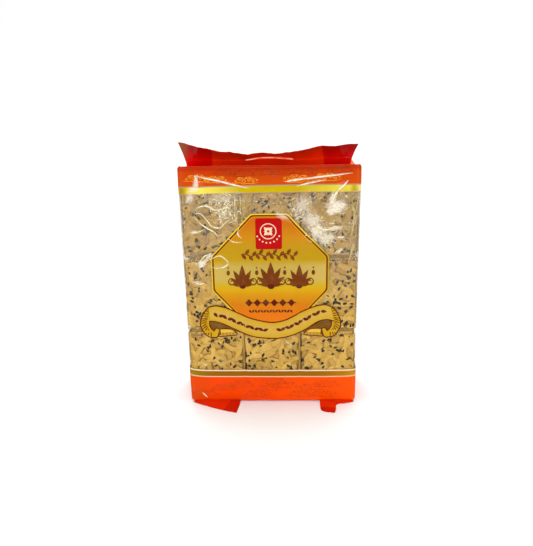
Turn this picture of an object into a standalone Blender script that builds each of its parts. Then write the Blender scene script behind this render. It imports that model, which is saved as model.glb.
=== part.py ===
"""A sealed retail bag of sachima bricks, standing upright on its folded bottom seal.

The bag is one closed body. Its side-gusseted film is drawn tight round a block of wrapped bricks, three
columns by three rows and two layers deep, so the gaps between the bricks show as shallow grooves. Above the
block the front and back panels stand up as a shoulder, dip to the middle and meet in the top seal, a thin
rippled fin with flared ends and an arched hand slit. Two dog-ears of the folded bottom seal lie in front.

Metres, +Z up. The front panel faces -Y. The origin is the middle of the base.
"""

import math

import bmesh
import bpy
from mathutils import Vector

# The block of bricks, each in its own wrap
COLUMNS, ROWS, LAYERS = 3, 3, 2
PITCH_X, PITCH_Y, PITCH_Z = 0.0503, 0.0260, 0.0687
BLOCK_BOTTOM = 0.0030
BLOCK_TOP = BLOCK_BOTTOM + ROWS * PITCH_Z

# The bag's body, which follows the block. Its lower left side tucks in a little
BODY_WIDTH = COLUMNS * PITCH_X
BODY_DEPTH = LAYERS * PITCH_Y
CORNER_RADIUS = 0.0020
BOTTOM_RADIUS = 0.0040
GROOVE_DEPTH, GROOVE_WIDTH = 0.0009, 0.0022
GUSSET_DENT = 0.0014
LEFT_TUCK, TUCK_HEIGHT = 0.0016, 0.0450

# The shoulder, where the panels stand above the block, and the roof, which dips to the top seal
SHOULDER_RISE = 0.0099
SHOULDER_TOP = BLOCK_TOP + SHOULDER_RISE
SHOULDER_POWER = 1.5
ROOF_DIP = 0.0060
ROOF_STATIONS = (0.22, 0.5, 0.8)

# Rings of the shoulder: the panels' rise and the gussets' rise, as shares of the whole, and the inset
SHOULDER_RINGS = ((0.45, 0.00, 0.0), (0.85, 0.03, 0.0), (1.00, 0.05, 0.0008), (0.97, 0.08, 0.0022))

# The top seal: a fin as thin as this model can hold, with flared ends and a crooked cut
FIN_THICKNESS = 0.0012
FIN_LEFT_LENGTH, FIN_RIGHT_LENGTH = 0.0218, 0.0184
FIN_BASE_WIDTH, FIN_TOP_WIDTH = 0.1385, 0.1520
FIN_SHIFT = -0.0012
FIN_FLARE_POWER = 1.5
FIN_STATIONS = (0.12, 0.3, 0.48, 0.66, 0.84, 1.0)

# How far the fin leans forward along its width: (x in millimetres, degrees). The steps are its wrinkles
FIN_LEANS = (
    (-77, 0), (-68, 15), (-60, 26), (-50, 34), (-40, 41), (-30, 44), (-18, 49), (-5, 45),
    (8, 48), (20, 42), (34, 31), (45, 17), (55, 21), (65, 6), (76, 0),
)  # fmt: skip

# The hand slit, an arched cut through the fin
SLIT_SPAN, SLIT_HEIGHT, SLIT_RISE = 0.0390, 0.0014, 0.0022
SLIT_ABOVE_SHOULDER = 0.0038
SLIT_END_SHARE = 0.14
SLIT_STEPS = 14

# The bottom seal, folded forward under the base, and its two dog-ears on the surface in front
SEAL_HALF_WIDTH = 0.0677
SEAL_BACK, SEAL_FRONT = 0.0025, -0.0235
SEAL_THICKNESS = 0.0012
BASE_LIFT, BASE_STEP = 0.0008, 0.0040
EAR_CURL, EAR_CLEARANCE = 0.0016, 0.0001
EAR_ROOT_X, EAR_ROOT_Y = 0.0709, -0.0150
EAR_ROWS = 6

# The free rims of the dog-ears, each from the pack's corner to its inner end: (x, y) in millimetres
LEFT_EAR = (
    (-72.8, -27.1), (-67.0, -30.4), (-61.9, -33.0), (-52.2, -38.0), (-42.0, -42.2), (-32.2, -45.8),
    (-29.9, -30.0),
)  # fmt: skip
RIGHT_EAR = (
    (74.0, -26.5), (66.0, -29.3), (58.2, -32.0), (56.0, -44.7), (51.5, -44.8), (47.8, -44.2),
    (43.6, -40.5), (43.1, -30.1),
)  # fmt: skip

# The lengthwise seam that closes the tube of film, flat against the back
SEAM_WIDTH, SEAM_PROUD, SEAM_BURIED = 0.0120, 0.0008, 0.0018
SEAM_MARGIN = 0.0060

# Where the lines of the mesh run across each brick: close together at its edges, wide apart in the middle
FACE_FRACTIONS = (0.0, 0.04, 0.12, 0.30, 0.50, 0.70, 0.88, 0.96)
SIDE_FRACTIONS = (0.0, 0.08, 0.45, 0.92)

# The printed bands at the top and bottom of the bag
TOP_BAND_FROM, BOTTOM_BAND_TO = 0.1955, 0.0300
PRINT_COLOUR = (0.78, 0.10, 0.01, 1.0)
WINDOW_COLOUR = (0.56, 0.38, 0.17, 1.0)


def clear_scene():
    for obj in list(bpy.data.objects):
        bpy.data.objects.remove(obj)


def film_material(name, colour):
    material = bpy.data.materials.new(name)
    material.use_nodes = True
    shader = material.node_tree.nodes["Principled BSDF"]
    shader.inputs["Base Color"].default_value = colour
    shader.inputs["Roughness"].default_value = 0.28
    shader.inputs["Metallic"].default_value = 0.0
    material.diffuse_color = colour
    return material


def stations(count, pitch, fractions):
    """Distances along a run of bricks, from its start to its end, closer together at each brick's edges."""
    inner = [(brick + fraction) * pitch for brick in range(count) for fraction in fractions]
    return inner + [count * pitch]


def groove(distance, count, pitch):
    """How far the film sinks at this distance along a run of bricks. The ends of the run have no groove."""
    sunk = 0.0
    for joint in range(1, count):
        sunk += GROOVE_DEPTH * math.exp(-(((distance - joint * pitch) / GROOVE_WIDTH) ** 2))
    return sunk


def soften(x, y, half_width, half_depth, radius):
    """A point of a sharp rectangle, moved onto the same rectangle with rounded corners."""
    inner_x, inner_y = half_width - radius, half_depth - radius
    over = Vector((abs(x) - inner_x, abs(y) - inner_y))
    if over.x <= 0 or over.y <= 0:
        return x, y
    over *= radius / over.length
    return math.copysign(inner_x + over.x, x), math.copysign(inner_y + over.y, y)


def perimeter(across, along):
    """Unit rectangle points (u, v) in -1..1, anticlockwise from the front left corner."""
    front = [(u, -1.0) for u in across[:-1]]
    right = [(1.0, v) for v in along[:-1]]
    back = [(u, 1.0) for u in across[:0:-1]]
    left = [(-1.0, v) for v in along[:0:-1]]
    return front + right + back + left


def base_height(y):
    """The base film lies on the ground at the back and on the folded seal at the front."""
    return BASE_LIFT * min(max((SEAL_BACK - y) / BASE_STEP + 0.25, 0.0), 1.0)


def wall_point(u, v, z, inset):
    """A point of the body's wall at height z, with the brick grooves and the gusset's crease pressed in."""
    half_width, half_depth = BODY_WIDTH / 2 - inset, BODY_DEPTH / 2 - inset
    x, y = soften(u * half_width, v * half_depth, half_width, half_depth, CORNER_RADIUS)
    row_groove = groove(z - BLOCK_BOTTOM, ROWS, PITCH_Z)
    if abs(v) == 1.0:
        edge_fade = 1 - u**8
        sunk = max(row_groove, groove(x + BODY_WIDTH / 2, COLUMNS, PITCH_X)) * edge_fade
        y -= math.copysign(sunk, v)
    else:
        edge_fade = 1 - v**4
        x -= math.copysign((row_groove + GUSSET_DENT * edge_fade) * edge_fade, u)
    if u < 0:
        x -= u * LEFT_TUCK * max(1 - z / TUCK_HEIGHT, 0.0) * abs(u) ** 3
    return Vector((x, y, z))


def body_rings(outline):
    """Rings of the body from the rounded bottom edge up to the top of the block."""
    rings = []
    for turn in (0.0, math.pi / 6, math.pi / 3):
        inset = BOTTOM_RADIUS * (1 - math.sin(turn))
        ring = [wall_point(u, v, BOTTOM_RADIUS * (1 - math.cos(turn)), inset) for u, v in outline]
        for point in ring:
            point.z = max(point.z, base_height(point.y))
        rings.append(ring)
    for step in stations(ROWS, PITCH_Z, FACE_FRACTIONS):
        z = BLOCK_BOTTOM + step
        if z > BOTTOM_RADIUS:
            rings.append([wall_point(u, v, z, 0.0) for u, v in outline])
    return rings


def shoulder_ring(outline, panel_rise, gusset_rise, inset):
    """A ring above the block, where the panels rise by one share of the shoulder, the creases by another."""
    ring = []
    for u, v in outline:
        point = wall_point(u, v, BLOCK_TOP, inset)
        point.z += SHOULDER_RISE * (gusset_rise + (panel_rise - gusset_rise) * abs(v) ** SHOULDER_POWER)
        ring.append(point)
    return ring


def roof_rings(crest, fin_foot):
    """The roof runs from the crest of the shoulder down and in to the foot of the top seal."""
    return [[start.lerp(end, share) for start, end in zip(crest, fin_foot)] for share in ROOF_STATIONS]


def fin_lean(x):
    """How far the fin leans forward at x, in radians."""
    for (start, low), (end, high) in zip(FIN_LEANS, FIN_LEANS[1:]):
        if x * 1000 <= end:
            share = min(max((x * 1000 - start) / (end - start), 0.0), 1.0)
            return math.radians(low + (high - low) * share)
    return 0.0


def fin_point(u, v, share):
    """A point of the top seal: share is 0 at its foot and 1 at its cut edge."""
    half_width = (FIN_BASE_WIDTH + (FIN_TOP_WIDTH - FIN_BASE_WIDTH) * share**FIN_FLARE_POWER) / 2
    x = u * half_width + FIN_SHIFT
    length = share * (FIN_LEFT_LENGTH + (FIN_RIGHT_LENGTH - FIN_LEFT_LENGTH) * (u + 1) / 2)
    lean = fin_lean(x)
    y = v * FIN_THICKNESS / 2 - length * math.sin(lean)
    return Vector((x, y, SHOULDER_TOP - ROOF_DIP + length * math.cos(lean)))


def fill_cap(bm, ring, across, along, z_of=None):
    """Closes a ring with a grid of faces between its front and back runs, and returns them."""
    columns, rows = len(across) - 1, len(along) - 1
    grid = {}
    for i in range(columns + 1):
        front = ring[i]
        back = ring[2 * columns + rows - i]
        for j in range(rows + 1):
            if j == 0:
                grid[i, j] = front
            elif j == rows:
                grid[i, j] = back
            elif i == 0:
                grid[i, j] = ring[-j]
            elif i == columns:
                grid[i, j] = ring[columns + j]
            else:
                point = front.co.lerp(back.co, (along[j] + 1) / 2)
                if z_of:
                    point.z = z_of(point.y)
                grid[i, j] = bm.verts.new(point)
    faces = []
    for i in range(columns):
        for j in range(rows):
            corners = (grid[i, j], grid[i + 1, j], grid[i + 1, j + 1], grid[i, j + 1])
            faces.append(bm.faces.new(corners))
    return faces


def loft(bm, rings):
    """Joins each ring to the next one up with a band of faces that point outwards."""
    rows = [[bm.verts.new(point) for point in ring] for ring in rings]
    for low, high in zip(rows, rows[1:]):
        for i in range(len(low)):
            after = (i + 1) % len(low)
            bm.faces.new((low[i], low[after], high[after], high[i]))
    return rows


def make_bag(collection):
    """The bag's body, shoulder, roof and top fin as one loft, from the base to the fin's cut edge."""
    across = [2 * x / BODY_WIDTH - 1 for x in stations(COLUMNS, PITCH_X, FACE_FRACTIONS)]
    along = [2 * y / BODY_DEPTH - 1 for y in stations(LAYERS, PITCH_Y, SIDE_FRACTIONS)]
    outline = perimeter(across, along)
    fin = [[fin_point(u, v, share) for u, v in outline] for share in (0.0, *FIN_STATIONS)]
    shoulder = [shoulder_ring(outline, *ring) for ring in SHOULDER_RINGS]
    rings = body_rings(outline) + shoulder + roof_rings(shoulder[-1], fin[0]) + fin
    bm = bmesh.new()
    rows = loft(bm, rings)
    for face in fill_cap(bm, rows[0], across, along, base_height):
        face.normal_flip()
    fill_cap(bm, rows[-1], across, along)
    return mesh_object("sachima_pack", bm, collection)


def mesh_object(name, bm, collection):
    """The mesh as an object, in triangles: a Boolean can lose part of a four-sided face that isn't flat."""
    bmesh.ops.triangulate(bm, faces=bm.faces)
    mesh = bpy.data.meshes.new(name)
    bm.to_mesh(mesh)
    bm.free()
    obj = bpy.data.objects.new(name, mesh)
    collection.objects.link(obj)
    return obj


def box_object(name, low, high, collection):
    bm = bmesh.new()
    bmesh.ops.create_cube(bm, size=1.0)
    for vert in bm.verts:
        for axis in range(3):
            vert.co[axis] = low[axis] if vert.co[axis] < 0 else high[axis]
    return mesh_object(name, bm, collection)


def make_bottom_seal(collection):
    """The bottom seal, folded forward and pressed flat between the base and the ground."""
    low = (-SEAL_HALF_WIDTH, SEAL_FRONT, 0.0)
    high = (SEAL_HALF_WIDTH, SEAL_BACK, SEAL_THICKNESS)
    return box_object("bottom_seal", low, high, collection)


def make_back_seam(collection):
    low = (-SEAM_WIDTH / 2, BODY_DEPTH / 2 - SEAM_BURIED, BOTTOM_RADIUS + SEAM_MARGIN)
    high = (SEAM_WIDTH / 2, BODY_DEPTH / 2 + SEAM_PROUD, BLOCK_TOP - SEAM_MARGIN)
    return box_object("back_seam", low, high, collection)


def make_ear(name, rim, collection):
    """A dog-ear: a leaf of film from under the base out to its free rim, curled up a little between."""
    bm = bmesh.new()
    for side in (0.0, SEAL_THICKNESS):
        grid = []
        for x, y in rim:
            edge = Vector((x, y)) / 1000
            root = Vector((min(max(edge.x, -EAR_ROOT_X), EAR_ROOT_X), EAR_ROOT_Y))
            line = []
            for j in range(EAR_ROWS + 1):
                place = root.lerp(edge, j / EAR_ROWS)
                lift = EAR_CLEARANCE + EAR_CURL * math.sin(math.pi * j / EAR_ROWS) ** 2
                line.append(bm.verts.new((place.x, place.y, lift + side)))
            grid.append(line)
        for near, far in zip(grid, grid[1:]):
            for j in range(EAR_ROWS):
                bm.faces.new((near[j], far[j], far[j + 1], near[j + 1]))
    bmesh.ops.bridge_loops(bm, edges=[edge for edge in bm.edges if edge.is_boundary])
    bmesh.ops.recalc_face_normals(bm, faces=bm.faces)
    return mesh_object(name, bm, collection)


def make_slit_cutter(collection):
    """An arched blade that runs front to back through the fin."""
    bm = bmesh.new()
    middle = SHOULDER_TOP + SLIT_ABOVE_SHOULDER
    low_line, high_line = [], []
    for step in range(SLIT_STEPS + 1):
        across = 2 * step / SLIT_STEPS - 1
        z = middle - SLIT_RISE * across**2
        half_height = SLIT_HEIGHT / 2 * max(math.sqrt(1 - across**2), SLIT_END_SHARE)
        low_line.append(Vector((across * SLIT_SPAN / 2, -BODY_DEPTH, z - half_height)))
        high_line.append(Vector((across * SLIT_SPAN / 2, -BODY_DEPTH, z + half_height)))
    face = bm.faces.new([bm.verts.new(point) for point in low_line + high_line[::-1]])
    swept = bmesh.ops.extrude_face_region(bm, geom=[face])
    moved = [item for item in swept["geom"] if isinstance(item, bmesh.types.BMVert)]
    bmesh.ops.translate(bm, vec=(0, 2 * BODY_DEPTH, 0), verts=moved)
    bmesh.ops.recalc_face_normals(bm, faces=bm.faces)
    return mesh_object("slit_cutter", bm, collection)


def apply_boolean(bag, tool, operation):
    """Joins or cuts the bag with another closed mesh, which is then removed."""
    modifier = bag.modifiers.new(tool.name, "BOOLEAN")
    modifier.operation = operation
    modifier.object = tool
    bpy.context.view_layer.update()
    evaluated = bag.evaluated_get(bpy.context.evaluated_depsgraph_get())
    result = bpy.data.meshes.new_from_object(evaluated)
    bag.modifiers.clear()
    bag.data = result
    bpy.data.objects.remove(tool)


def paint(bag):
    """Orange print on the fin, the two bands and the ears; plain film over the bricks between them."""
    bag.data.materials.clear()
    bag.data.materials.append(film_material("printed_film", PRINT_COLOUR))
    bag.data.materials.append(film_material("clear_film", WINDOW_COLOUR))
    for face in bag.data.polygons:
        face.material_index = int(BOTTOM_BAND_TO < face.center.z < TOP_BAND_FROM)
    bag.data.shade_smooth()
    bag.data.set_sharp_from_angle(angle=math.radians(35))


def main():
    clear_scene()
    pack = bpy.data.collections.new("sachima_pack")
    tools = bpy.data.collections.new("tools")
    for collection in (pack, tools):
        bpy.context.scene.collection.children.link(collection)
    bag = make_bag(pack)
    apply_boolean(bag, make_bottom_seal(tools), "UNION")
    apply_boolean(bag, make_back_seam(tools), "UNION")
    apply_boolean(bag, make_ear("left_ear", LEFT_EAR, tools), "UNION")
    apply_boolean(bag, make_ear("right_ear", RIGHT_EAR, tools), "UNION")
    apply_boolean(bag, make_slit_cutter(tools), "DIFFERENCE")
    paint(bag)


main()
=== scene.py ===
"""The looks of a sealed retail bag of sachima: clear printed film over eighteen wrapped sesame bricks.

Metres, +Z up. The printed front faces -Y. Outlines of the print are given in millimetres.
"""

import math
from itertools import product

import bmesh
import bpy
import numpy as np
from mathutils import Matrix, Vector, geometry, noise


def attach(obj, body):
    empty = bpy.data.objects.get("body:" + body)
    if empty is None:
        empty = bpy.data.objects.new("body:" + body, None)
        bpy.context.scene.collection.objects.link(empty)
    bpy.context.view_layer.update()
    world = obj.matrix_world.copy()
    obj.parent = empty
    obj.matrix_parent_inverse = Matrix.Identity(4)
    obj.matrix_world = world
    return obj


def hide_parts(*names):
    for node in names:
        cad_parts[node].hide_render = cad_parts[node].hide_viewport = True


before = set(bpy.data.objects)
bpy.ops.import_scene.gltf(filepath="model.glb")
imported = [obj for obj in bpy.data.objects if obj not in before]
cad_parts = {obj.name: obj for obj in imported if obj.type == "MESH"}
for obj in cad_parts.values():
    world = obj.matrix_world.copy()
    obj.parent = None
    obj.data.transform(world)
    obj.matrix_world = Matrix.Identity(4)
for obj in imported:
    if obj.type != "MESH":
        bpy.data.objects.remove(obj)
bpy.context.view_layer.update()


# The bricks. Each is a slab of fried dough strands bound in syrup, pressed flat and cut, so its faces are
# flattened strands that lie over each other at all angles. Eighteen fill the bag: three columns, three rows and
# two layers. A dark core of syrup and crumbs shows only between the strands.
COLUMNS, LAYERS, ROWS = 3, 2, 3
PITCH = Vector((0.0503, 0.0260, 0.0687))
BLOCK_BOTTOM = 0.0030
BRICK_SIZE, BRICK_STEP = Vector((0.0493, 0.0240, 0.0662)), 0.0498
CORE_INSET, CORE_ROUND, CORE_STEPS = 0.0009, 0.0014, (16, 8, 20)
CORE_ROUGH, CORE_SUNK = 0.0006, 0.0004
CRUMB_SCALE, CRUMB_SHIFT = 260, 7.3
HIDDEN_SHARE = 0.45


class Wire:
    """A node socket that takes part in arithmetic: each operator adds its Math node to the socket's tree."""

    def __init__(self, graph, socket):
        self.graph, self.socket = graph, socket

    def maths(self, operation, *others):
        return self.graph.add("ShaderNodeMath", dict(enumerate((self, *others))), operation=operation)

    def __add__(self, other):
        return self.maths("ADD", other)

    def __sub__(self, other):
        return self.maths("SUBTRACT", other)

    def __rsub__(self, other):
        return self.graph.add("ShaderNodeMath", {0: other, 1: self}, operation="SUBTRACT")

    def __mul__(self, other):
        return self.maths("MULTIPLY", other)

    def __truediv__(self, other):
        return self.maths("DIVIDE", other)

    def __pow__(self, other):
        return self.maths("POWER", other)

    def __abs__(self):
        return self.maths("ABSOLUTE")

    def least(self, other):
        return self.maths("MINIMUM", other)

    def most(self, other):
        return self.maths("MAXIMUM", other)

    def blend(self, low, high):
        """0 below low, 1 above high and a smooth step between them."""
        inputs = {"Value": self, "From Min": low, "From Max": high}
        return self.graph.add("ShaderNodeMapRange", inputs, interpolation_type="SMOOTHSTEP")

    __radd__ = __add__
    __rmul__ = __mul__


class Graph:
    """The node tree of a material or of a geometry group, with one method that adds any node."""

    def __init__(self, tree):
        self.tree = tree

    def add(self, kind, inputs=None, output=0, stops=(), **settings):
        """Adds a node with these settings, then feeds its sockets, and returns one of its outputs."""
        node = self.tree.nodes.new(kind)
        for name, value in settings.items():
            setattr(node, name, value)
        for index, (place, *rgb) in enumerate(stops):
            ramp = node.color_ramp.elements
            stop = ramp[index] if index < len(ramp) else ramp.new(place)
            stop.position, stop.color = place, colour(*rgb)
        for name, value in (inputs or {}).items():
            if isinstance(value, Wire):
                self.tree.links.new(value.socket, node.inputs[name])
            else:
                node.inputs[name].default_value = value
        return Wire(self, node.outputs[output])

    def vector(self, operation, *values, output=0):
        return self.add("ShaderNodeVectorMath", dict(enumerate(values)), output=output, operation=operation)

    def scaled(self, vector, scale):
        return self.add("ShaderNodeVectorMath", {0: vector, "Scale": scale}, operation="SCALE")

    def plus(self, first, second):
        return self.vector("ADD", first, second)

    def split(self, vector):
        """The three parts of a vector."""
        node = self.add("ShaderNodeSeparateXYZ", {0: vector}).socket.node
        return [Wire(self, part) for part in node.outputs]

    def joined(self, *parts):
        return self.add("ShaderNodeCombineXYZ", dict(enumerate(parts)))

    def mix(self, factor, first, second):
        """One colour at factor 0, the other at 1."""
        return self.add("ShaderNodeMix", {0: factor, 6: first, 7: second}, output=2, data_type="RGBA")

    def ramp(self, share, *stops):
        """The colour at this share of the way through the stops: each is a share and its sRGB values."""
        return self.add("ShaderNodeValToRGB", {0: share}, stops=stops)

    def noise(self, place, scale, detail=2.0, roughness=0.5):
        inputs = {"Vector": place, "Scale": scale, "Detail": detail, "Roughness": roughness}
        return self.add("ShaderNodeTexNoise", inputs)

    def attribute(self, name, output=2):
        return self.add("ShaderNodeAttribute", output=output, attribute_name=name)

    def bump(self, height, strength, distance, under=None):
        """A bent normal, on top of another one if it is given."""
        inputs = {"Strength": strength, "Distance": distance, "Height": height}
        return self.add("ShaderNodeBump", inputs | ({"Normal": under} if under else {}))

    def mixed(self, factor, first, second):
        """One shader at factor 0, the other at 1."""
        return self.add("ShaderNodeMixShader", {0: factor, 1: first, 2: second})

    def surface(self, shader):
        """Ends a material's tree with this shader and returns the material."""
        out = self.tree.nodes.new("ShaderNodeOutputMaterial")
        self.tree.links.new(shader.socket, out.inputs["Surface"])
        return self.material

    def named(self, name, kind="FLOAT"):
        return self.add("GeometryNodeInputNamedAttribute", {"Name": name}, data_type=kind)

    def keep(self, shapes, name, value, kind="FLOAT"):
        """Stores a value on each point of the shapes."""
        inputs = {"Geometry": shapes, "Name": name, "Value": value}
        return self.add("GeometryNodeStoreNamedAttribute", inputs, data_type=kind, domain="POINT")

    def draw(self, low, high, seed):
        """A number, or a vector, drawn between low and high for each point."""
        if isinstance(low, tuple):
            inputs = {0: low, 1: high, "Seed": seed}
            return self.add("FunctionNodeRandomValue", inputs, data_type="FLOAT_VECTOR")
        inputs = {2: low, 3: high, "Seed": seed}
        return self.add("FunctionNodeRandomValue", inputs, output=1, data_type="FLOAT")

    def moved(self, shapes, place):
        return self.add("GeometryNodeSetPosition", {"Geometry": shapes, "Position": place})


def colour(red, green, blue):
    """A colour from its sRGB values, 0 to 255, for a shader."""
    shares = [value / 255 for value in (red, green, blue)]
    return tuple(s / 12.92 if s <= 0.04045 else ((s + 0.055) / 1.055) ** 2.4 for s in shares) + (1.0,)


def new_material(name):
    """A bare material's graph, and the place of each point of the piece."""
    material = bpy.data.materials.new(name)
    material.use_nodes = True
    material.node_tree.nodes.clear()
    graph = Graph(material.node_tree)
    graph.material = material
    return graph, graph.add("ShaderNodeTexCoord", output="Object")


def brick_middles():
    """Each brick's place in the block, (column, layer, row), and its middle."""
    for column, layer, row in product(range(COLUMNS), range(LAYERS), range(ROWS)):
        x = (column - (COLUMNS - 1) / 2) * BRICK_STEP
        y = (layer - (LAYERS - 1) / 2) * PITCH.y
        yield (column, layer, row), Vector((x, y, BLOCK_BOTTOM + (row + 0.5) * PITCH.z))


def box_lattice(bm, middle, half, steps, round_off, relief=None):
    """Adds a closed box with rounded edges, in steps along each side. Relief pushes its points outwards."""
    verts = {}

    def vert(key):
        if key not in verts:
            flat = Vector([(2 * k / n - 1) * h for k, n, h in zip(key, steps, half)])
            inner = Vector([max(min(c, h - round_off), round_off - h) for c, h in zip(flat, half)])
            outwards = (flat - inner).normalized()
            point = middle + inner + outwards * round_off
            if relief:
                point += outwards * relief(point)
            verts[key] = bm.verts.new(point)
        return verts[key]

    for axis in range(3):
        a, b = (axis + 1) % 3, (axis + 2) % 3
        for end, i, j in product((0, steps[axis]), range(steps[a]), range(steps[b])):
            corners = []
            for di, dj in ((0, 0), (1, 0), (1, 1), (0, 1)):
                key = [0, 0, 0]
                key[axis], key[a], key[b] = end, i + di, j + dj
                corners.append(vert(tuple(key)))
            bm.faces.new(corners if end else corners[::-1])


def piece(name, bm, material, smooth=True, outwards=False):
    """The finished mesh as an object in the scene, at the origin, with its faces turned outwards if asked."""
    if outwards:
        bmesh.ops.recalc_face_normals(bm, faces=bm.faces)
    mesh = bpy.data.meshes.new(name)
    bm.to_mesh(mesh)
    bm.free()
    mesh.materials.append(material)
    if smooth:
        mesh.shade_smooth()
    obj = bpy.data.objects.new(name, mesh)
    bpy.context.scene.collection.objects.link(obj)
    return obj


def refill(obj, bm, material):
    """Puts this mesh in the object instead of its own, smooth and with one material."""
    obj.data.materials.clear()
    bm.to_mesh(obj.data)
    bm.free()
    obj.data.materials.append(material)
    obj.data.shade_smooth()


def new_group(name, sizes):
    """A Geometry Nodes tree with a mesh and these named inputs: its graph, and a wire for each input."""
    tree = bpy.data.node_groups.new(name, "GeometryNodeTree")
    for way in ("INPUT", "OUTPUT"):
        tree.interface.new_socket("Mesh", in_out=way, socket_type="NodeSocketGeometry")
    for label, value in sizes.items():
        kind = "NodeSocketInt" if isinstance(value, int) else "NodeSocketFloat"
        tree.interface.new_socket(label, in_out="INPUT", socket_type=kind)
    entry = tree.nodes.new("NodeGroupInput")
    graph = Graph(tree)
    return graph, {socket.name: Wire(graph, socket) for socket in entry.outputs if socket.name}


def finish_group(graph, shapes, material):
    """Ends a tree of realized shapes: smooth, with their material."""
    shapes = graph.add("GeometryNodeSetShadeSmooth", {"Geometry": shapes})
    shapes = graph.add("GeometryNodeSetMaterial", {"Geometry": shapes, "Material": material})
    graph.tree.links.new(shapes.socket, graph.tree.nodes.new("NodeGroupOutput").inputs[0])
    return graph


def run_group(obj, graph, sizes, scratch=()):
    """Runs the tree on the object with these sizes and keeps the result as a plain mesh."""
    modifier = obj.modifiers.new(graph.tree.name, "NODES")
    modifier.node_group = graph.tree
    for item in graph.tree.interface.items_tree:
        if item.in_out == "INPUT" and item.name in sizes:
            modifier[item.identifier] = sizes[item.name]
    evaluated = obj.evaluated_get(bpy.context.evaluated_depsgraph_get())
    mesh = bpy.data.meshes.new_from_object(evaluated)
    obj.modifiers.remove(modifier)
    obj.data = mesh
    for name in scratch:
        if name in mesh.attributes:
            mesh.attributes.remove(mesh.attributes[name])


def brick_faces(name, layers):
    """The flat faces of these layers' bricks, with each brick's middle, and how much of each face shows."""
    bm = bmesh.new()
    middle_of = bm.faces.layers.float_vector.new("middle")
    shown_of = bm.faces.layers.float.new("shown")
    for (column, layer, row), middle in brick_middles():
        if layer not in layers:
            continue
        outer = Vector((column - 1, 2 * layer - 1, int(row == ROWS - 1)))
        made = bmesh.ops.create_cube(bm, size=1.0)["verts"]
        for vert in made:
            vert.co = middle + vert.co * BRICK_SIZE
        for face in {face for vert in made for face in vert.link_faces}:
            face.normal_update()
            face[middle_of] = middle
            face[shown_of] = 1.0 if face.normal.dot(outer) > 0.5 else HIDDEN_SHARE
    return piece(name, bm, None, smooth=False)


STRANDS = {
    "Length": 0.0165,
    "Half Width": 0.0030,
    "Half Thickness": 0.0023,
    "Spacing": 0.0041,
    "Bend": 120.0,
    "Depth": 0.0009,
    "Skin": 0.0006,
    "Seed": 11,
}
# What is drawn for each strand: its turn and bend, how deep and how long it is, and its tone
STRAND_DRAWS = {
    "turn": (0.0, 2 * math.pi),
    "bend": (-1.0, 1.0),
    "sink": (0.0, 1.0),
    "reach": (0.6, 1.25),
    "tone": (0.0, 1.0),
}
MOST_STRANDS = 60000.0
FIXED_TANGENT = (0.36, 0.48, 0.80)
SINK_DEPTH, LUMP_DEPTH = 0.0007, 0.0005
DOUGH_TONES = ((0.15, 186, 144, 50), (0.42, 204, 162, 57), (0.65, 215, 173, 66), (0.90, 229, 190, 90))


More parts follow.
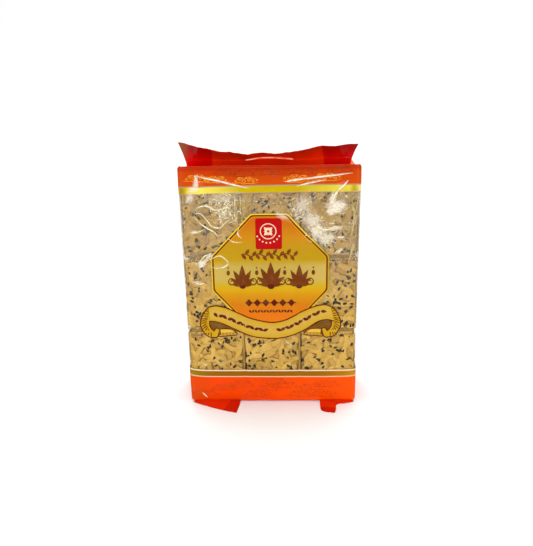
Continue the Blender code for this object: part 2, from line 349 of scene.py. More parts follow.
def strand_group(material):
    """Curved, flattened strands over the bricks' faces, held inside each brick's box as if pressed in."""
    graph, size = new_group("pressed_strands", STRANDS)
    add, vector, scaled, plus, keep, named = (
        getattr(graph, name) for name in ("add", "vector", "scaled", "plus", "keep", "named")
    )
    line = add("GeometryNodeCurvePrimitiveLine", {"Start": (-0.5, 0, 0), "End": (0.5, 0, 0)})
    line = add("GeometryNodeResampleCurve", {"Curve": line, "Count": 8})
    ring = add("GeometryNodeCurvePrimitiveCircle", {"Resolution": 6, "Radius": 1.0})
    tube = add("GeometryNodeCurveToMesh", {"Curve": line, "Profile Curve": ring, "Fill Caps": True})
    tube = keep(tube, "local", add("GeometryNodeInputPosition"), "FLOAT_VECTOR")

    spread = {"Mesh": size["Mesh"], "Distance Min": size["Spacing"], "Density Max": MOST_STRANDS}
    spread |= {"Density Factor": named("shown"), "Seed": size["Seed"]}
    points = add("GeometryNodeDistributePointsOnFaces", spread, distribute_method="POISSON")
    points = keep(points, "normal", Wire(graph, points.socket.node.outputs["Normal"]), "FLOAT_VECTOR")
    for seed, (name, (low, high)) in enumerate(STRAND_DRAWS.items(), 1):
        points = keep(points, name, graph.draw(low, high, seed))
    placed = add("GeometryNodeInstanceOnPoints", {"Points": points, "Instance": tube})
    strands = add("GeometryNodeRealizeInstances", {"Geometry": placed})

    local, outwards = named("local", "FLOAT_VECTOR"), named("normal", "FLOAT_VECTOR")
    along, across, up = graph.split(local)
    start = vector("SUBTRACT", add("GeometryNodeInputPosition"), local)
    first = vector("NORMALIZE", vector("CROSS_PRODUCT", outwards, FIXED_TANGENT))
    second = vector("CROSS_PRODUCT", outwards, first)
    turn = named("turn")
    ahead = plus(scaled(first, turn.maths("COSINE")), scaled(second, turn.maths("SINE")))
    sideways = vector("CROSS_PRODUCT", outwards, ahead)

    bend = named("bend") * size["Bend"] + 1.0
    angle = bend * along * size["Length"] * named("reach")
    sine, cosine = angle.maths("SINE"), angle.maths("COSINE")
    path = plus(scaled(ahead, sine / bend), scaled(sideways, (1 - cosine) / bend))
    side = vector("SUBTRACT", scaled(sideways, cosine), scaled(ahead, sine))

    def inside(place, margin):
        """Keeps a place, measured from the brick's middle, inside the brick less a margin."""
        edge = graph.joined(*(BRICK_SIZE[i] / 2 - margin for i in range(3)))
        return vector("MAXIMUM", vector("MINIMUM", place, edge), scaled(edge, -1.0))

    middle, sink = named("middle", "FLOAT_VECTOR"), named("sink")
    centre = inside(vector("SUBTRACT", plus(start, path), middle), size["Depth"] + sink * SINK_DEPTH)
    lumps = graph.noise(add("GeometryNodeInputPosition"), 420.0, 1.0)
    swell = (1 - (abs(along) * 2) ** 6.0 * 0.75).maths("SQRT") * (lumps * 0.5 + 0.75)
    thick = scaled(outwards, up * swell * size["Half Thickness"])
    wall = plus(scaled(side, across * swell * size["Half Width"]), thick)
    held = inside(plus(centre, wall), sink * size["Skin"] - (lumps - 0.5) * LUMP_DEPTH)
    strands = graph.moved(strands, plus(held, middle))
    return finish_group(graph, keep(strands, "rim", abs(across)), material)


def sachima_material():
    """Golden fried dough: each strand has its own tone, and browner sides, painted shade for the crevices between
    strands, under a patchy syrup glaze.
    """
    graph, place = new_material("sachima_dough")
    tone, rim = graph.attribute("tone"), graph.attribute("rim")
    blotch = graph.noise(place, 170.0, 3.0, 0.6)
    bubbles = graph.noise(place, 900.0, 3.0, 0.7)
    tone = tone * 0.55 + blotch * 0.75 - 0.15 + (bubbles - 0.5) * 0.35
    dough = graph.ramp(tone, *DOUGH_TONES)
    # Painted shade: the strands' sides turn darker brown, for the crevices between them.
    edge = (rim + (blotch - 0.5) * 0.25).blend(0.76, 0.98)
    freckles = graph.noise(place, 620.0, 2.0, 0.7).blend(0.58, 0.70)
    baked = graph.mix((edge * 0.9).most(freckles * 0.45), dough, colour(124, 72, 18))
    glaze = graph.noise(place, 120.0, 2.0).blend(0.42, 0.60)
    inputs = {"Base Color": baked, "Roughness": 0.55 - glaze * 0.25 + (bubbles - 0.5) * 0.2}
    inputs |= {"Coat Weight": glaze * 0.3, "Coat Roughness": 0.2, "Normal": graph.bump(bubbles, 0.35, 0.0004)}
    return graph.surface(graph.add("ShaderNodeBsdfPrincipled", inputs))


def crumbs(brick):
    """The relief of one brick's core: crumbs all over it, a little below the strands."""
    seed = Vector(brick) * CRUMB_SHIFT
    return lambda point: CORE_ROUGH * noise.noise(point * CRUMB_SCALE + seed) - CORE_SUNK


dough = sachima_material()
strand_tree = strand_group(dough)
for layer, name in enumerate(("front_bricks", "back_bricks")):
    bricks = brick_faces(name, (layer,))
    run_group(bricks, strand_tree, STRANDS | {"Seed": STRANDS["Seed"] + layer}, ("local", "normal", "middle"))
    cores = bmesh.new()
    for brick, middle in brick_middles():
        if brick[1] == layer:
            half = BRICK_SIZE / 2 - Vector([CORE_INSET] * 3)
            box_lattice(cores, middle, half, CORE_STEPS, CORE_ROUND, crumbs(brick))
    cores.from_mesh(bricks.data)
    refill(bricks, cores, dough)
    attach(bricks, "root")


# The sesame. Black seeds, about 3 mm long and pointed at one end, stirred into the dough: they lie flat in the
# faces of the bricks, in loose clusters, half sunk in the syrup.
SEEDS = {
    "Half Length": 0.00195,
    "Half Width": 0.00112,
    "Half Thickness": 0.00042,
    "Density": 33000.0,
    "Sink": 0.0002,
    "Margin": 0.0022,
    "Seed": 5,
}


def seed_group(material):
    """Pointed seeds in clusters on the outer faces of the bricks, each turned and grown in its own way."""
    graph, size = new_group("sesame_scatter", SEEDS)
    add, plus = graph.add, graph.plus
    blank = add("GeometryNodeMeshUVSphere", {"Segments": 6, "Rings": 4, "Radius": 1.0})
    place = add("GeometryNodeInputPosition")
    x, y, z = graph.split(place)
    taper = 1 - z * 0.42 - z * z * 0.10
    flat = (z * size["Half Length"], y * taper * size["Half Width"], x * taper * size["Half Thickness"])
    blank = graph.moved(blank, graph.joined(*flat))
    clusters = graph.noise(place, 85.0, 2.0)
    spread = {"Mesh": size["Mesh"], "Seed": size["Seed"]}
    spread |= {"Density": size["Density"] * graph.named("shown").maths("GREATER_THAN", 0.9)}
    points = add("GeometryNodeDistributePointsOnFaces", spread, distribute_method="RANDOM")
    normal, facing = (Wire(graph, points.socket.node.outputs[name]) for name in ("Normal", "Rotation"))
    kept = clusters.blend(0.40, 0.58).maths("GREATER_THAN", graph.draw(0.0, 1.0, 2))
    spin = add("FunctionNodeEulerToRotation", {0: graph.draw((-0.1, -0.1, 0.0), (0.1, 0.1, 6.28), 3)})
    turned = add("FunctionNodeRotateRotation", {0: facing, 1: spin}, rotation_space="LOCAL")
    middle = graph.named("middle", "FLOAT_VECTOR")
    drawn_in = graph.joined(*(1 - size["Margin"] / (BRICK_SIZE[i] / 2) for i in range(3)))
    place = graph.vector("MULTIPLY", graph.vector("SUBTRACT", place, middle), drawn_in)
    raised = graph.scaled(normal, size["Margin"] - size["Sink"])
    points = graph.moved(points, plus(plus(place, middle), raised))
    sown = {"Points": points, "Selection": kept, "Instance": blank, "Rotation": turned}
    seeds = add("GeometryNodeInstanceOnPoints", sown | {"Scale": graph.draw(0.8, 1.15, 4)})
    return finish_group(graph, add("GeometryNodeRealizeInstances", {"Geometry": seeds}), material)


def sesame_material():
    """Nearly black hulls with a grey-brown bloom and a soft shine."""
    graph, place = new_material("black_sesame")
    bloom = graph.noise(place, 700.0, 2.0).blend(0.40, 0.75)
    hull = graph.mix(bloom, colour(24, 14, 4), colour(58, 42, 14))
    bump = graph.bump(graph.noise(place, 2600.0, 1.0), 0.3, 0.0002)
    inputs = {"Base Color": hull, "Roughness": 0.5 - bloom * 0.1, "Specular IOR Level": 0.25, "Normal": bump}
    return graph.surface(graph.add("ShaderNodeBsdfPrincipled", inputs))


sesame = brick_faces("sesame_seeds", range(LAYERS))
run_group(sesame, seed_group(sesame_material()), SEEDS, ("middle", "shown"))
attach(sesame, "root")


# The inner wraps. Each brick has its own sleeve of thin clear film, crinkled where it is slack, with a crimped
# seal at each end and a seam down one side. These are folded flat into the gaps between the bricks.
WRAP_SPARE, WRAP_ROUND, WRAP_STEPS = Vector((0.00024, 0.00030, 0.0005)), 0.0003, (18, 9, 24)
CRINKLE_HEIGHT = 0.00030
FILM_TINT, FILM_MILK, FILM_SHINE = (0.985, 0.98, 0.97, 1), (0.62, 0.52, 0.38, 1), (1.0, 0.92, 0.76, 1)
FILM_IOR, MOST_MIRROR = 1.62, 0.35
SEALS = {"Width": 0.0440, "Height": 0.0068, "Thickness": 0.00020, "Ripple": 0.00025, "Ribs": 22.0, "Seed": 3}
SEAL_SUNK, SEAL_INSET, LOWEST_SEAL, HIGHEST_SEAL = 0.0004, 0.0012, 0.0065, 0.204
SEAL_TILT, SEAL_CRUMPLE = (0.10, 0.03, 0.01), (0.0010, 0.0006, 0.0030)
SEAL_MILK = (0.45, 0.27, 0.07, 1)
SEAM_SUNK, SEAM_ASIDE, SEAM_HALF, SEAM_STEPS = 0.0008, 0.0004, Vector((0.0009, 0.0003, 0.0318)), (2, 1, 26)
SEAM_ROUND, SEAM_ROUGH = 0.0002, 0.0005


def crinkle(point):
    """The wrap's relief: sharp ridges between flat facets, stronger towards the top of the pack."""
    loose = 0.35 + 0.65 * min(max((point.z - 0.09) / 0.07, 0.0), 1.0)
    rough = noise.noise(point * 105) + 0.5 * noise.noise(point * 230 + Vector((3, 1, 4)))
    return CRINKLE_HEIGHT * loose * (0.6 - 2.2 * abs(rough))


def clear_film(graph, place, haze, wrinkle, milk=FILM_MILK):
    """Clear film: what is behind shows, under haze and a reflection, fullest where the film is slack."""
    slack = graph.split(place)[2].blend(0.07, 0.17)
    bump = graph.bump(wrinkle, 0.6, 0.0004)
    through = graph.add("ShaderNodeBsdfTransparent", {"Color": FILM_TINT})
    body = graph.mixed(haze, through, graph.add("ShaderNodeBsdfDiffuse", {"Color": milk}))
    shine = {"Color": FILM_SHINE, "Roughness": 0.10, "Normal": bump}
    mirror = graph.add("ShaderNodeFresnel", {"IOR": FILM_IOR, "Normal": bump}).least(MOST_MIRROR)
    return graph.mixed(mirror * (slack * 0.6 + 0.14), body, graph.add("ShaderNodeBsdfGlossy", shine))


def wrap_material():
    """Thin clear film, hazy along its sharpest creases."""
    graph, place = new_material("inner_wrap_film")
    loose = graph.split(place)[2].blend(0.08, 0.19)
    creases = abs(graph.noise(place, 130.0, 3.0) - 0.5) * 1.6
    haze = (0.11 - creases).most(0.0) * (loose * 2.2 + 0.2) + loose * 0.04
    return graph.surface(clear_film(graph, place, haze, creases * (loose * 0.8 + 0.25)))


wraps = bmesh.new()
for _, middle in brick_middles():
    box_lattice(wraps, middle, BRICK_SIZE / 2 + WRAP_SPARE, WRAP_STEPS, WRAP_ROUND, crinkle)
wraps = piece("inner_wraps", wraps, wrap_material())
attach(wraps, "root")


def seal_group(material):
    """One crimped strip on each point, rippled across its width and crumpled as a whole."""
    graph, size = new_group("wrap_end_seals", SEALS)
    add = graph.add
    strip = add("GeometryNodeMeshCube", {"Vertices X": 45, "Vertices Y": 2, "Vertices Z": 6})
    across, depth, up = graph.split(add("GeometryNodeInputPosition"))
    ripple = (across * size["Ribs"] * 2 * math.pi).maths("SINE") * size["Ripple"]
    shape = graph.joined(across * size["Width"], depth * size["Thickness"] + ripple, up * size["Height"])
    tilt = graph.draw(tuple(-turn for turn in SEAL_TILT), SEAL_TILT, size["Seed"])
    tilt = add("FunctionNodeEulerToRotation", {0: tilt})
    laid = {"Points": size["Mesh"], "Instance": graph.moved(strip, shape), "Rotation": tilt}
    seals = add("GeometryNodeRealizeInstances", {"Geometry": add("GeometryNodeInstanceOnPoints", laid)})
    place = add("GeometryNodeInputPosition")
    crumple = add("ShaderNodeTexNoise", {"Vector": place, "Scale": 180.0, "Detail": 2.0}, output=1)
    crumple = graph.vector("SUBTRACT", crumple, (0.5, 0.5, 0.5))
    crumple = graph.vector("MULTIPLY", crumple, SEAL_CRUMPLE)
    seals = add("GeometryNodeSetPosition", {"Geometry": seals, "Offset": crumple})
    return finish_group(graph, seals, material)


def seal_material():
    """Several layers of crimped film, milky where they are pressed together, most in the side seams."""
    graph, place = new_material("crimped_wrap_film")
    creases = abs(graph.noise(place, 240.0, 2.0) - 0.5) * 1.5
    side_seam = 1 - abs(abs(graph.split(place)[0]) - BRICK_STEP / 2).blend(0.0017, 0.0024)
    haze = creases * 0.4 + 0.50 + side_seam * 0.38
    return graph.surface(clear_film(graph, place, haze, creases, SEAL_MILK))


def seam_relief(point):
    """The slight wave of a side seam."""
    return SEAM_ROUGH * noise.noise(point * 150)


seals, seams = bmesh.new(), bmesh.new()
for _, middle in brick_middles():
    for end in (-1, 1):
        outer_y = middle.y + math.copysign(BRICK_SIZE.y / 2 - SEAL_SUNK, middle.y)
        z = middle.z + end * (PITCH.z / 2 - SEAL_INSET)
        if z < HIGHEST_SEAL:
            seals.verts.new((middle.x, outer_y, max(z, LOWEST_SEAL)))
crimped_film = seal_material()
seals = piece("wrap_seals", seals, crimped_film)
run_group(seals, seal_group(crimped_film), SEALS)
seams.from_mesh(seals.data)
for (column, layer, _), middle in brick_middles():
    if column:
        out = (2 * layer - 1) * (BRICK_SIZE.y / 2 - SEAM_SUNK)
        place = middle + Vector((-BRICK_STEP / 2 - SEAM_ASIDE, out, 0))
        box_lattice(seams, place, SEAM_HALF, SEAM_STEPS, SEAM_ROUND, seam_relief)
refill(seals, seams, crimped_film)
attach(seals, "root")


# The bag. One tube of clear film, printed on its inside in bands, with gussets at its sides, drawn tight round
# the block. Above the block its panels stand up, fold in and run down to the foot of the top seal. It is slack
# near the top, where it buckles into sharp creases, and taut lower down.
BODY_WIDTH, BODY_DEPTH = COLUMNS * PITCH.x, LAYERS * PITCH.y
BLOCK_TOP = BLOCK_BOTTOM + ROWS * PITCH.z
CORNER_RADIUS, BOTTOM_RADIUS = 0.0020, 0.0040
GROOVE_DEPTH, GROOVE_WIDTH = 0.00035, 0.0030
GUSSET_DENT, GUSSET_TUCK = 0.0002, 0.0110
LEFT_TUCK, TUCK_HEIGHT = 0.0005, 0.0450
SEAL_BACK, BASE_LIFT, BASE_STEP = 0.0025, 0.0008, 0.0040
SHOULDER_RISE, ROOF_DIP = 0.0099, 0.0060
SHOULDER_TOP = BLOCK_TOP + SHOULDER_RISE
# The shoulder's stages: how far the panels and the gussets have risen, as shares of the whole rise, and how far
# in the film has turned
SHOULDER_TABLE = (
    (0.00, 0.00, 0.0), (0.45, 0.00, 0.0), (0.85, 0.03, 0.0), (1.00, 0.05, 0.0008), (0.97, 0.08, 0.0022),
)  # fmt: skip
FIN_BASE_WIDTH, FIN_SHIFT = 0.1385, -0.0012
FINE_STEP, COARSE_STEP, SIDE_STEP = 0.00092, 0.0019, 0.0020
LOOSE_FROM = 0.1050
BACK_DRAWN_IN, ROOF_RIPPLE = 0.09, 0.0012
LEAST_RELIEF = -0.25
PRINT_SHINE = 0.06
# The white of the painted glare patches, and the milk of the bag's clear film
GLARE_WHITE, BAG_MILK = colour(250, 238, 216), (0.34, 0.29, 0.23, 1)

# The print's layout, in millimetres. The bands' edges: height, tilt, sag and the lift at each end. The stripes
# along them: width, then how wide their pale outer and inner lines are. The print's half width. The label:
# middle, half width, foot, top and how soft its corners are, then where its cut corners lie and which way they
# face. The red stamp: its middle and half size.
UPPER_EDGE, LOWER_EDGE = (203.0, 0.55, -0.35, 0.0, 0.0), (32.9, -0.2, 0.2, 2.4, 1.2)
GOLD_STRIPE, LOWER_GOLD_STRIPE = (6.9, 0.9, 0.8), (7.3, 1.3, 1.0)
PRINT_HALF = 75.0
LABEL_X, LABEL_HALF, LABEL_FOOT, LABEL_TOP, LABEL_SOFT = -0.6, 50.5, 72.0, 178.7, 2.0
LABEL_UPPER_CUT, LABEL_LOWER_CUT = (141.2, 0.732, 0.682), (109.8, 0.750, -0.661)
STAMP_X, STAMP_Z, STAMP_HALF_X, STAMP_HALF_Z = -1.2, 161.1, 9.4, 11.8

# The front panel's creases, in millimetres: height, half width, then the points (x, z) that it runs through
CREASES = (
    (0.40, 1.5, (-61, 211.3), (-52, 209), (-40, 206.3), (-28, 203), (-17, 200.5)),
    (0.50, 0.9, (-61.2, 212), (-59.6, 207), (-58.4, 202.5)),
    (0.40, 1.6, (13, 205.6), (21, 206.8), (31, 208)),
    (0.45, 1.2, (20, 206.5), (40, 209), (54, 210.5), (68, 212.2)),
    (0.40, 1.1, (22, 201.6), (29, 203.4), (38, 205.3), (46, 206.7)),
    (0.60, 1.7, (64.5, 206), (60.3, 201.3), (56.3, 198), (53.4, 193), (52, 188)),
    (0.45, 0.8, (-63.6, 179), (-59.6, 184.6), (-52, 185.6), (-47, 182.8), (-41, 182.7), (-34.6, 184.9),
     (-30.6, 180.4)),
    (0.42, 0.8, (-63, 179), (-58, 179.4), (-53.4, 174.6), (-48.6, 168.5), (-42, 167.1), (-36.7, 171.9),
     (-32.4, 174.4)),
    (0.40, 0.8, (-63.7, 178), (-59.4, 172), (-53, 166.8), (-47, 163.3), (-44, 159.7), (-38.8, 162.3)),
    (0.35, 0.8, (-69, 163.3), (-61, 163.4), (-56, 165.4)),
    (0.40, 0.8, (-62, 135.5), (-56, 142), (-52, 143)),
    (0.42, 0.8, (-52, 138.6), (-43.8, 142), (-38.8, 139.2), (-36.2, 135.4), (-40, 132), (-46.9, 131), (-52, 133)),
    (0.30, 0.8, (-66, 118.6), (-61.4, 116.5), (-56, 117.6)),
    (0.38, 0.8, (-26, 166.5), (-27.2, 161.3), (-24, 157.2)),
    (0.38, 0.8, (-36, 157.5), (-30.6, 154.3), (-23.5, 154)),
    (0.18, 0.8, (-28.6, 196), (-29, 178), (-27, 171)),
    (0.15, 0.8, (-24.2, 196), (-24.6, 178)),
    (0.50, 0.8, (38, 167.5), (47, 165.2), (55, 168), (60.5, 164.5)),
    (0.35, 0.8, (46, 164), (46.3, 147)),
    (0.35, 0.9, (54, 143.5), (62, 150.5)),
    (0.35, 0.9, (66, 135), (69, 146.3), (71, 154)),
    (0.35, 0.8, (72.4, 199), (73.2, 192.8), (72, 182.7), (73.6, 176)),
    (0.40, 0.9, (67.5, 192), (69.9, 176.8), (68.5, 163.8), (66, 154)),
    (0.35, 0.8, (66, 187), (70.4, 181), (71.5, 172), (69, 166)),
    (0.35, 0.8, (-64.5, 10), (-60, 5)),
    (0.25, 0.8, (11, 63.5), (18.5, 56)),
)  # fmt: skip

# Pleated patches of slack film that face upwards: x, z, half width, half height in millimetres, their slope and
# how much they climb to the right
PLEATS = (
    (-61, 190, 5, 10, 0.26, 0.2), (59, 158, 9, 6, 0.30, 0.3), (26, 180, 10, 12, 0.16, 0.7),
    (44, 167, 17, 7, 0.24, 0.5), (66, 174, 6, 12, 0.22, 0.5), (-2, 193, 22, 7, 0.20, 0.1),
    (70, 143, 5, 9, 0.30, 0.3), (-44, 168, 9, 8, 0.22, -0.4), (-46, 178, 16, 12, 0.16, 0.3),
)  # fmt: skip
PLEAT_STEP, PLEAT_FLAT = 4.6, 0.78

# Soft bulges of slack film: x, z, half width, half height and how far they stand out, in millimetres
BULGES = (
    (-59, 200, 5.5, 5.0, 2.0), (53, 175, 11, 11, 4.0), (38, 159, 15, 6, 2.2), (24, 168, 9, 12, 3.2),
    (-58, 134, 5.5, 4.5, 1.6), (62, 198, 7, 5, 1.9), (-35, 183, 5, 8, 2.2), (69, 160, 5, 9, 2.6),
)  # fmt: skip

# Patches of painted glare, white where the slack film would reflect the lamps: the middle, the half length and
# half width in millimetres, how far each climbs in degrees, how strong it is and how far it is torn into streaks
PAINTED_GLARES = (
    ((56.3, 184.3), (11.0, 7.8), 6, 0.97, 0.6), ((51.8, 190.5), (9.4, 3.8), 64, 0.95, 0.8),
    ((50.6, 180.8), (5.6, 4.2), 0, 0.92, 0.7), ((26.8, 185), (15, 9.5), 60, 0.60, 1.3),
    ((35.5, 172), (13, 9), -55, 0.78, 1.2), ((40.5, 163.5), (12, 8.5), -48, 0.88, 1.1),
    ((47, 157.2), (11, 7.5), -20, 0.82, 1.2), ((54.5, 166), (12, 2.8), 8, 0.80, 1.2),
    ((59.5, 157.9), (4.6, 1.8), 4, 0.97, 0.4), ((58.9, 145.6), (5.0, 2.0), 48, 0.85, 0.7),
    ((63.5, 193), (2.2, 1.8), -30, 0.90, 0.5), ((69.0, 147), (7.0, 1.6), 76, 0.80, 0.8),
    ((10, 177), (9.0, 4.0), -30, 0.62, 1.0), ((-66, 192.5), (6.0, 5.0), 70, 0.78, 0.7),
    ((-60.2, 206), (8.0, 2.8), 80, 0.90, 0.9), ((-62.5, 199.8), (6.5, 4.0), 20, 0.85, 0.8),
    ((-40, 192), (22, 6.0), 5, 0.50, 1.4), ((-38, 180), (13, 10), 30, 0.40, 1.4),
    ((-59, 135.3), (6.0, 4.4), 25, 0.95, 1.0), ((-53, 141), (6.0, 2.6), 40, 0.80, 1.0),
    ((-63, 163.5), (7.0, 2.4), 5, 0.60, 1.1), ((-64, 118), (7.0, 2.8), 0, 0.55, 1.1),
    ((-72.6, 76.2), (3.0, 1.3), 0, 0.72, 0.8), ((-71.4, 139.6), (3.4, 1.8), 0, 0.80, 0.8),
)  # fmt: skip
STREAK_LENGTH, STREAK_WIDTH = 5.5, 1.1


def rough(x, z, seed):
    """Smooth noise, -1 to 1, at each of these flat places."""
    x, z, seed = np.broadcast_arrays(x, z, seed)
    found = [noise.noise(Vector(place)) for place in zip(x.ravel(), z.ravel(), seed.ravel())]
    return np.reshape(found, x.shape)


def crease_relief(x, z, height, width, path):
    """One crease's height over the film at (x, z): a ridge along its path that fades towards both ends."""
    nearest, fade = np.full_like(x, 1e9), np.zeros_like(x)
    lengths = np.hypot(*np.diff(path, axis=0).T)
    passed = 0.0
    for start, end, length in zip(path, path[1:], lengths):
        step = (end - start) / length
        along = np.clip((x - start[0]) * step[0] + (z - start[1]) * step[1], 0, length)
        apart = np.hypot(x - start[0] - step[0] * along, z - start[1] - step[1] * along)
        closer = apart < nearest
        nearest = np.where(closer, apart, nearest)
        share = np.clip((passed + along) / lengths.sum(), 0.04, 0.96)
        fade = np.where(closer, np.sin(np.pi * share) ** 0.5, fade)
        passed += length
    return height * fade * np.exp(-((nearest / max(width, 1.0)) ** 2))


def relief(x, z):
    """How far the front panel stands out, in millimetres: creases, pleats and bulges, then small buckles."""
    out = np.zeros_like(x)
    for height, width, *path in CREASES:
        out += crease_relief(x, z, height, width, np.array(path, float))
    for middle_x, middle_z, half_x, half_z, slope, climb in PLEATS:
        across, up = x - middle_x, z - middle_z
        window = np.clip(1.5 - 1.5 * ((across / half_x) ** 2 + (up / half_z) ** 2), 0, 1)
        near = window > 0
        sway = np.zeros_like(x)
        sway[near] = rough(x[near] * 0.12, z[near] * 0.12, 4.0)
        share = (up - climb * across + 3.5 * sway) / PLEAT_STEP % 1.0
        fall = np.where(share < PLEAT_FLAT, 1 - share / PLEAT_FLAT, (share - PLEAT_FLAT) / (1 - PLEAT_FLAT))
        out += window * slope * PLEAT_STEP * PLEAT_FLAT * fall
    for middle_x, middle_z, half_x, half_z, stand in BULGES:
        out += stand * np.exp(-(((x - middle_x) / half_x) ** 2) - ((z - middle_z) / half_z) ** 2)
    loose = np.clip((z - 100) / 80, 0, 1) * np.clip((76 - abs(x)) / 6, 0, 1)
    buckles = rough(x * 0.055, z * 0.055, 2.0) + 0.4 * rough(x * 0.15, z * 0.15, 7.0)
    out += (0.12 + 0.55 * loose) * (0.22 - abs(buckles))
    return np.maximum(out, LEAST_RELIEF)


def groove(distance, count, pitch):
    """How far the taut film sinks between two bricks."""
    joints = np.arange(1, count) * pitch
    return sum(GROOVE_DEPTH * np.exp(-(((distance - joint) / GROOVE_WIDTH) ** 2)) for joint in joints)


def taut(x, z):
    """How far a flat panel sinks between the bricks, and how free it is, 1, or held by its edges, 0."""
    sunk = np.maximum(groove(z - BLOCK_BOTTOM, ROWS, PITCH.z), groove(x + BODY_WIDTH / 2, COLUMNS, PITCH.x))
    return sunk, 1 - np.clip(abs(x) / (BODY_WIDTH / 2), 0, 1) ** 8


def front_y(x, z):
    """The front panel's place at (x, z), in metres, from a metre's arrays."""
    sunk, free = taut(x, z)
    return -BODY_DEPTH / 2 + sunk * free - relief(x * 1000, z * 1000) / 1000 * np.minimum(free * 6, 1)


def back_y(x, z):
    """The back panel's place at (x, z), in metres, from a metre's arrays."""
    sunk, free = taut(x, z)
    soft = 0.35 * rough(x * 45, z * 45, 9.0) / 1000
    return BODY_DEPTH / 2 + (soft - sunk) * free


def spaced(length, step, fine=0.0006, margin=0.0030):
    """Stations from 0 to length, about a step apart, closer together near both ends."""
    ends = np.arange(0, margin, fine)
    middle = np.linspace(margin, length - margin, max(round((length - 2 * margin) / step), 2))
    return np.concatenate([ends, middle, length - ends[::-1]])


across = 2 * spaced(BODY_WIDTH, FINE_STEP) / BODY_WIDTH - 1
along = 2 * spaced(BODY_DEPTH, SIDE_STEP) / BODY_DEPTH - 1
OUTLINE_U = np.concatenate([across[:-1], np.ones(len(along) - 1), across[:0:-1], -np.ones(len(along) - 1)])
OUTLINE_V = np.concatenate([-np.ones(len(across) - 1), along[:-1], np.ones(len(across) - 1), along[:0:-1]])


def film_ring(z, inset):
    """A ring of the bag's wall at height z: front and back panels, and gussets with a pressed-in crease."""
    half_x, half_y = BODY_WIDTH / 2 - inset, BODY_DEPTH / 2 - inset
    x, y = OUTLINE_U * half_x, OUTLINE_V * half_y
    over_x = np.maximum(abs(x) - half_x + CORNER_RADIUS, 0)
    over_y = np.maximum(abs(y) - half_y + CORNER_RADIUS, 0)
    corner = (over_x > 0) & (over_y > 0)
    pull = np.where(corner, CORNER_RADIUS / np.maximum(np.hypot(over_x, over_y), 1e-9), 1.0)
    x = np.where(corner, np.sign(x) * (half_x - CORNER_RADIUS + over_x * pull), x)
    y = np.where(corner, np.sign(y) * (half_y - CORNER_RADIUS + over_y * pull), y)
    level = np.full_like(x, z)
    y = np.where(OUTLINE_V == 1.0, y + back_y(x, level) - BODY_DEPTH / 2, y)
    y = np.where(OUTLINE_V == -1.0, y + front_y(x, level) + BODY_DEPTH / 2, y)
    fade = 1 - OUTLINE_V**4
    soft = 0.12 * rough(y * 60, z * 60, 4.0 + np.sign(x)) / 1000
    side = (groove(np.array(z - BLOCK_BOTTOM), ROWS, PITCH.z) * 0.5 + (GUSSET_DENT + soft) * fade) * fade
    x = np.where(abs(OUTLINE_V) == 1.0, x, x - np.sign(OUTLINE_U) * side)
    tuck = LEFT_TUCK * max(1 - z / TUCK_HEIGHT, 0.0)
    x = np.where(OUTLINE_U < 0, x - OUTLINE_U * tuck * abs(OUTLINE_U) ** 3, x)
    return np.stack([x, y, level], axis=1)


def base_level(y):
    """How high the bag's underside is: it steps up over the seal that is folded forwards under it."""
    return BASE_LIFT * np.clip((SEAL_BACK - y) / BASE_STEP + 0.25, 0, 1)


def film_rings():
    """All the rings of the bag, from its base up over the shoulder to the foot of the top seal."""
    rings = []
    for turn in np.linspace(0, math.pi / 2, 6)[:-1]:
        ring = film_ring(BOTTOM_RADIUS * (1 - math.cos(turn)), BOTTOM_RADIUS * (1 - math.sin(turn)))
        ring[:, 2] = np.maximum(ring[:, 2], base_level(ring[:, 1]))
        rings.append(ring)
    low = np.arange(BOTTOM_RADIUS, LOOSE_FROM, COARSE_STEP)
    slack = np.linspace(LOOSE_FROM, BLOCK_TOP, round((BLOCK_TOP - LOOSE_FROM) / FINE_STEP))
    rings += [film_ring(z, 0.0) for z in (*low, *slack)]
    for stage in np.linspace(0, len(SHOULDER_TABLE) - 1, 19)[1:]:
        rise, gusset_rise, inset = (np.interp(stage, range(5), column) for column in zip(*SHOULDER_TABLE))
        ring = film_ring(BLOCK_TOP + SHOULDER_RISE * rise, inset)
        ring[:, 2] = BLOCK_TOP + SHOULDER_RISE * (gusset_rise + (rise - gusset_rise) * abs(OUTLINE_V) ** 1.5)
        ring[:, 0] *= 1 - BACK_DRAWN_IN * rise * (1 + OUTLINE_V) / 2
        rings.append(ring)
    crest = rings[-1]
    foot_x = OUTLINE_U * FIN_BASE_WIDTH / 2 + FIN_SHIFT
    foot = np.stack([foot_x, np.zeros_like(foot_x), np.full_like(foot_x, SHOULDER_TOP - ROOF_DIP)], axis=1)
    for share in np.linspace(0, 1, 15)[1:]:
        ring = crest + (foot - crest) * share
        tuck = GUSSET_TUCK * math.sin(math.pi * share) ** 0.8 * (1 - abs(OUTLINE_V))
        ring[:, 0] -= np.sign(OUTLINE_U) * tuck * (abs(OUTLINE_U) == 1.0)
        ring[:, 2] += ROOF_RIPPLE * rough(ring[:, 0] * 70, share * 2, OUTLINE_V) * math.sin(math.pi * share)
        rings.append(ring)
    return rings


def loft(bm, rings):
    """Joins each ring to the next with a band of faces."""
    rows = [[bm.verts.new(point) for point in ring] for ring in rings]
    for low, high in zip(rows, rows[1:]):
        for i in range(len(low)):
            after = (i + 1) % len(low)
            bm.faces.new((low[i], low[after], high[after], high[i]))
    return rows


def close_base(bm, ring):
    """The base of the bag, a grid of faces between the lowest ring's front and back runs."""
    columns, rows = len(across) - 1, len(along) - 1
    grid = {}
    for i, j in product(range(columns + 1), range(rows + 1)):
        front, back = ring[i], ring[2 * columns + rows - i]
        if j in (0, rows):
            grid[i, j] = front if j == 0 else back
        elif i in (0, columns):
            grid[i, j] = ring[-j] if i == 0 else ring[columns + j]
        else:
            point = front.co.lerp(back.co, (along[j] + 1) / 2)
            point.z = base_level(point.y)
            grid[i, j] = bm.verts.new(point)
    for i, j in product(range(columns), range(rows)):
        bm.faces.new((grid[i, j], grid[i, j + 1], grid[i + 1, j + 1], grid[i + 1, j]))


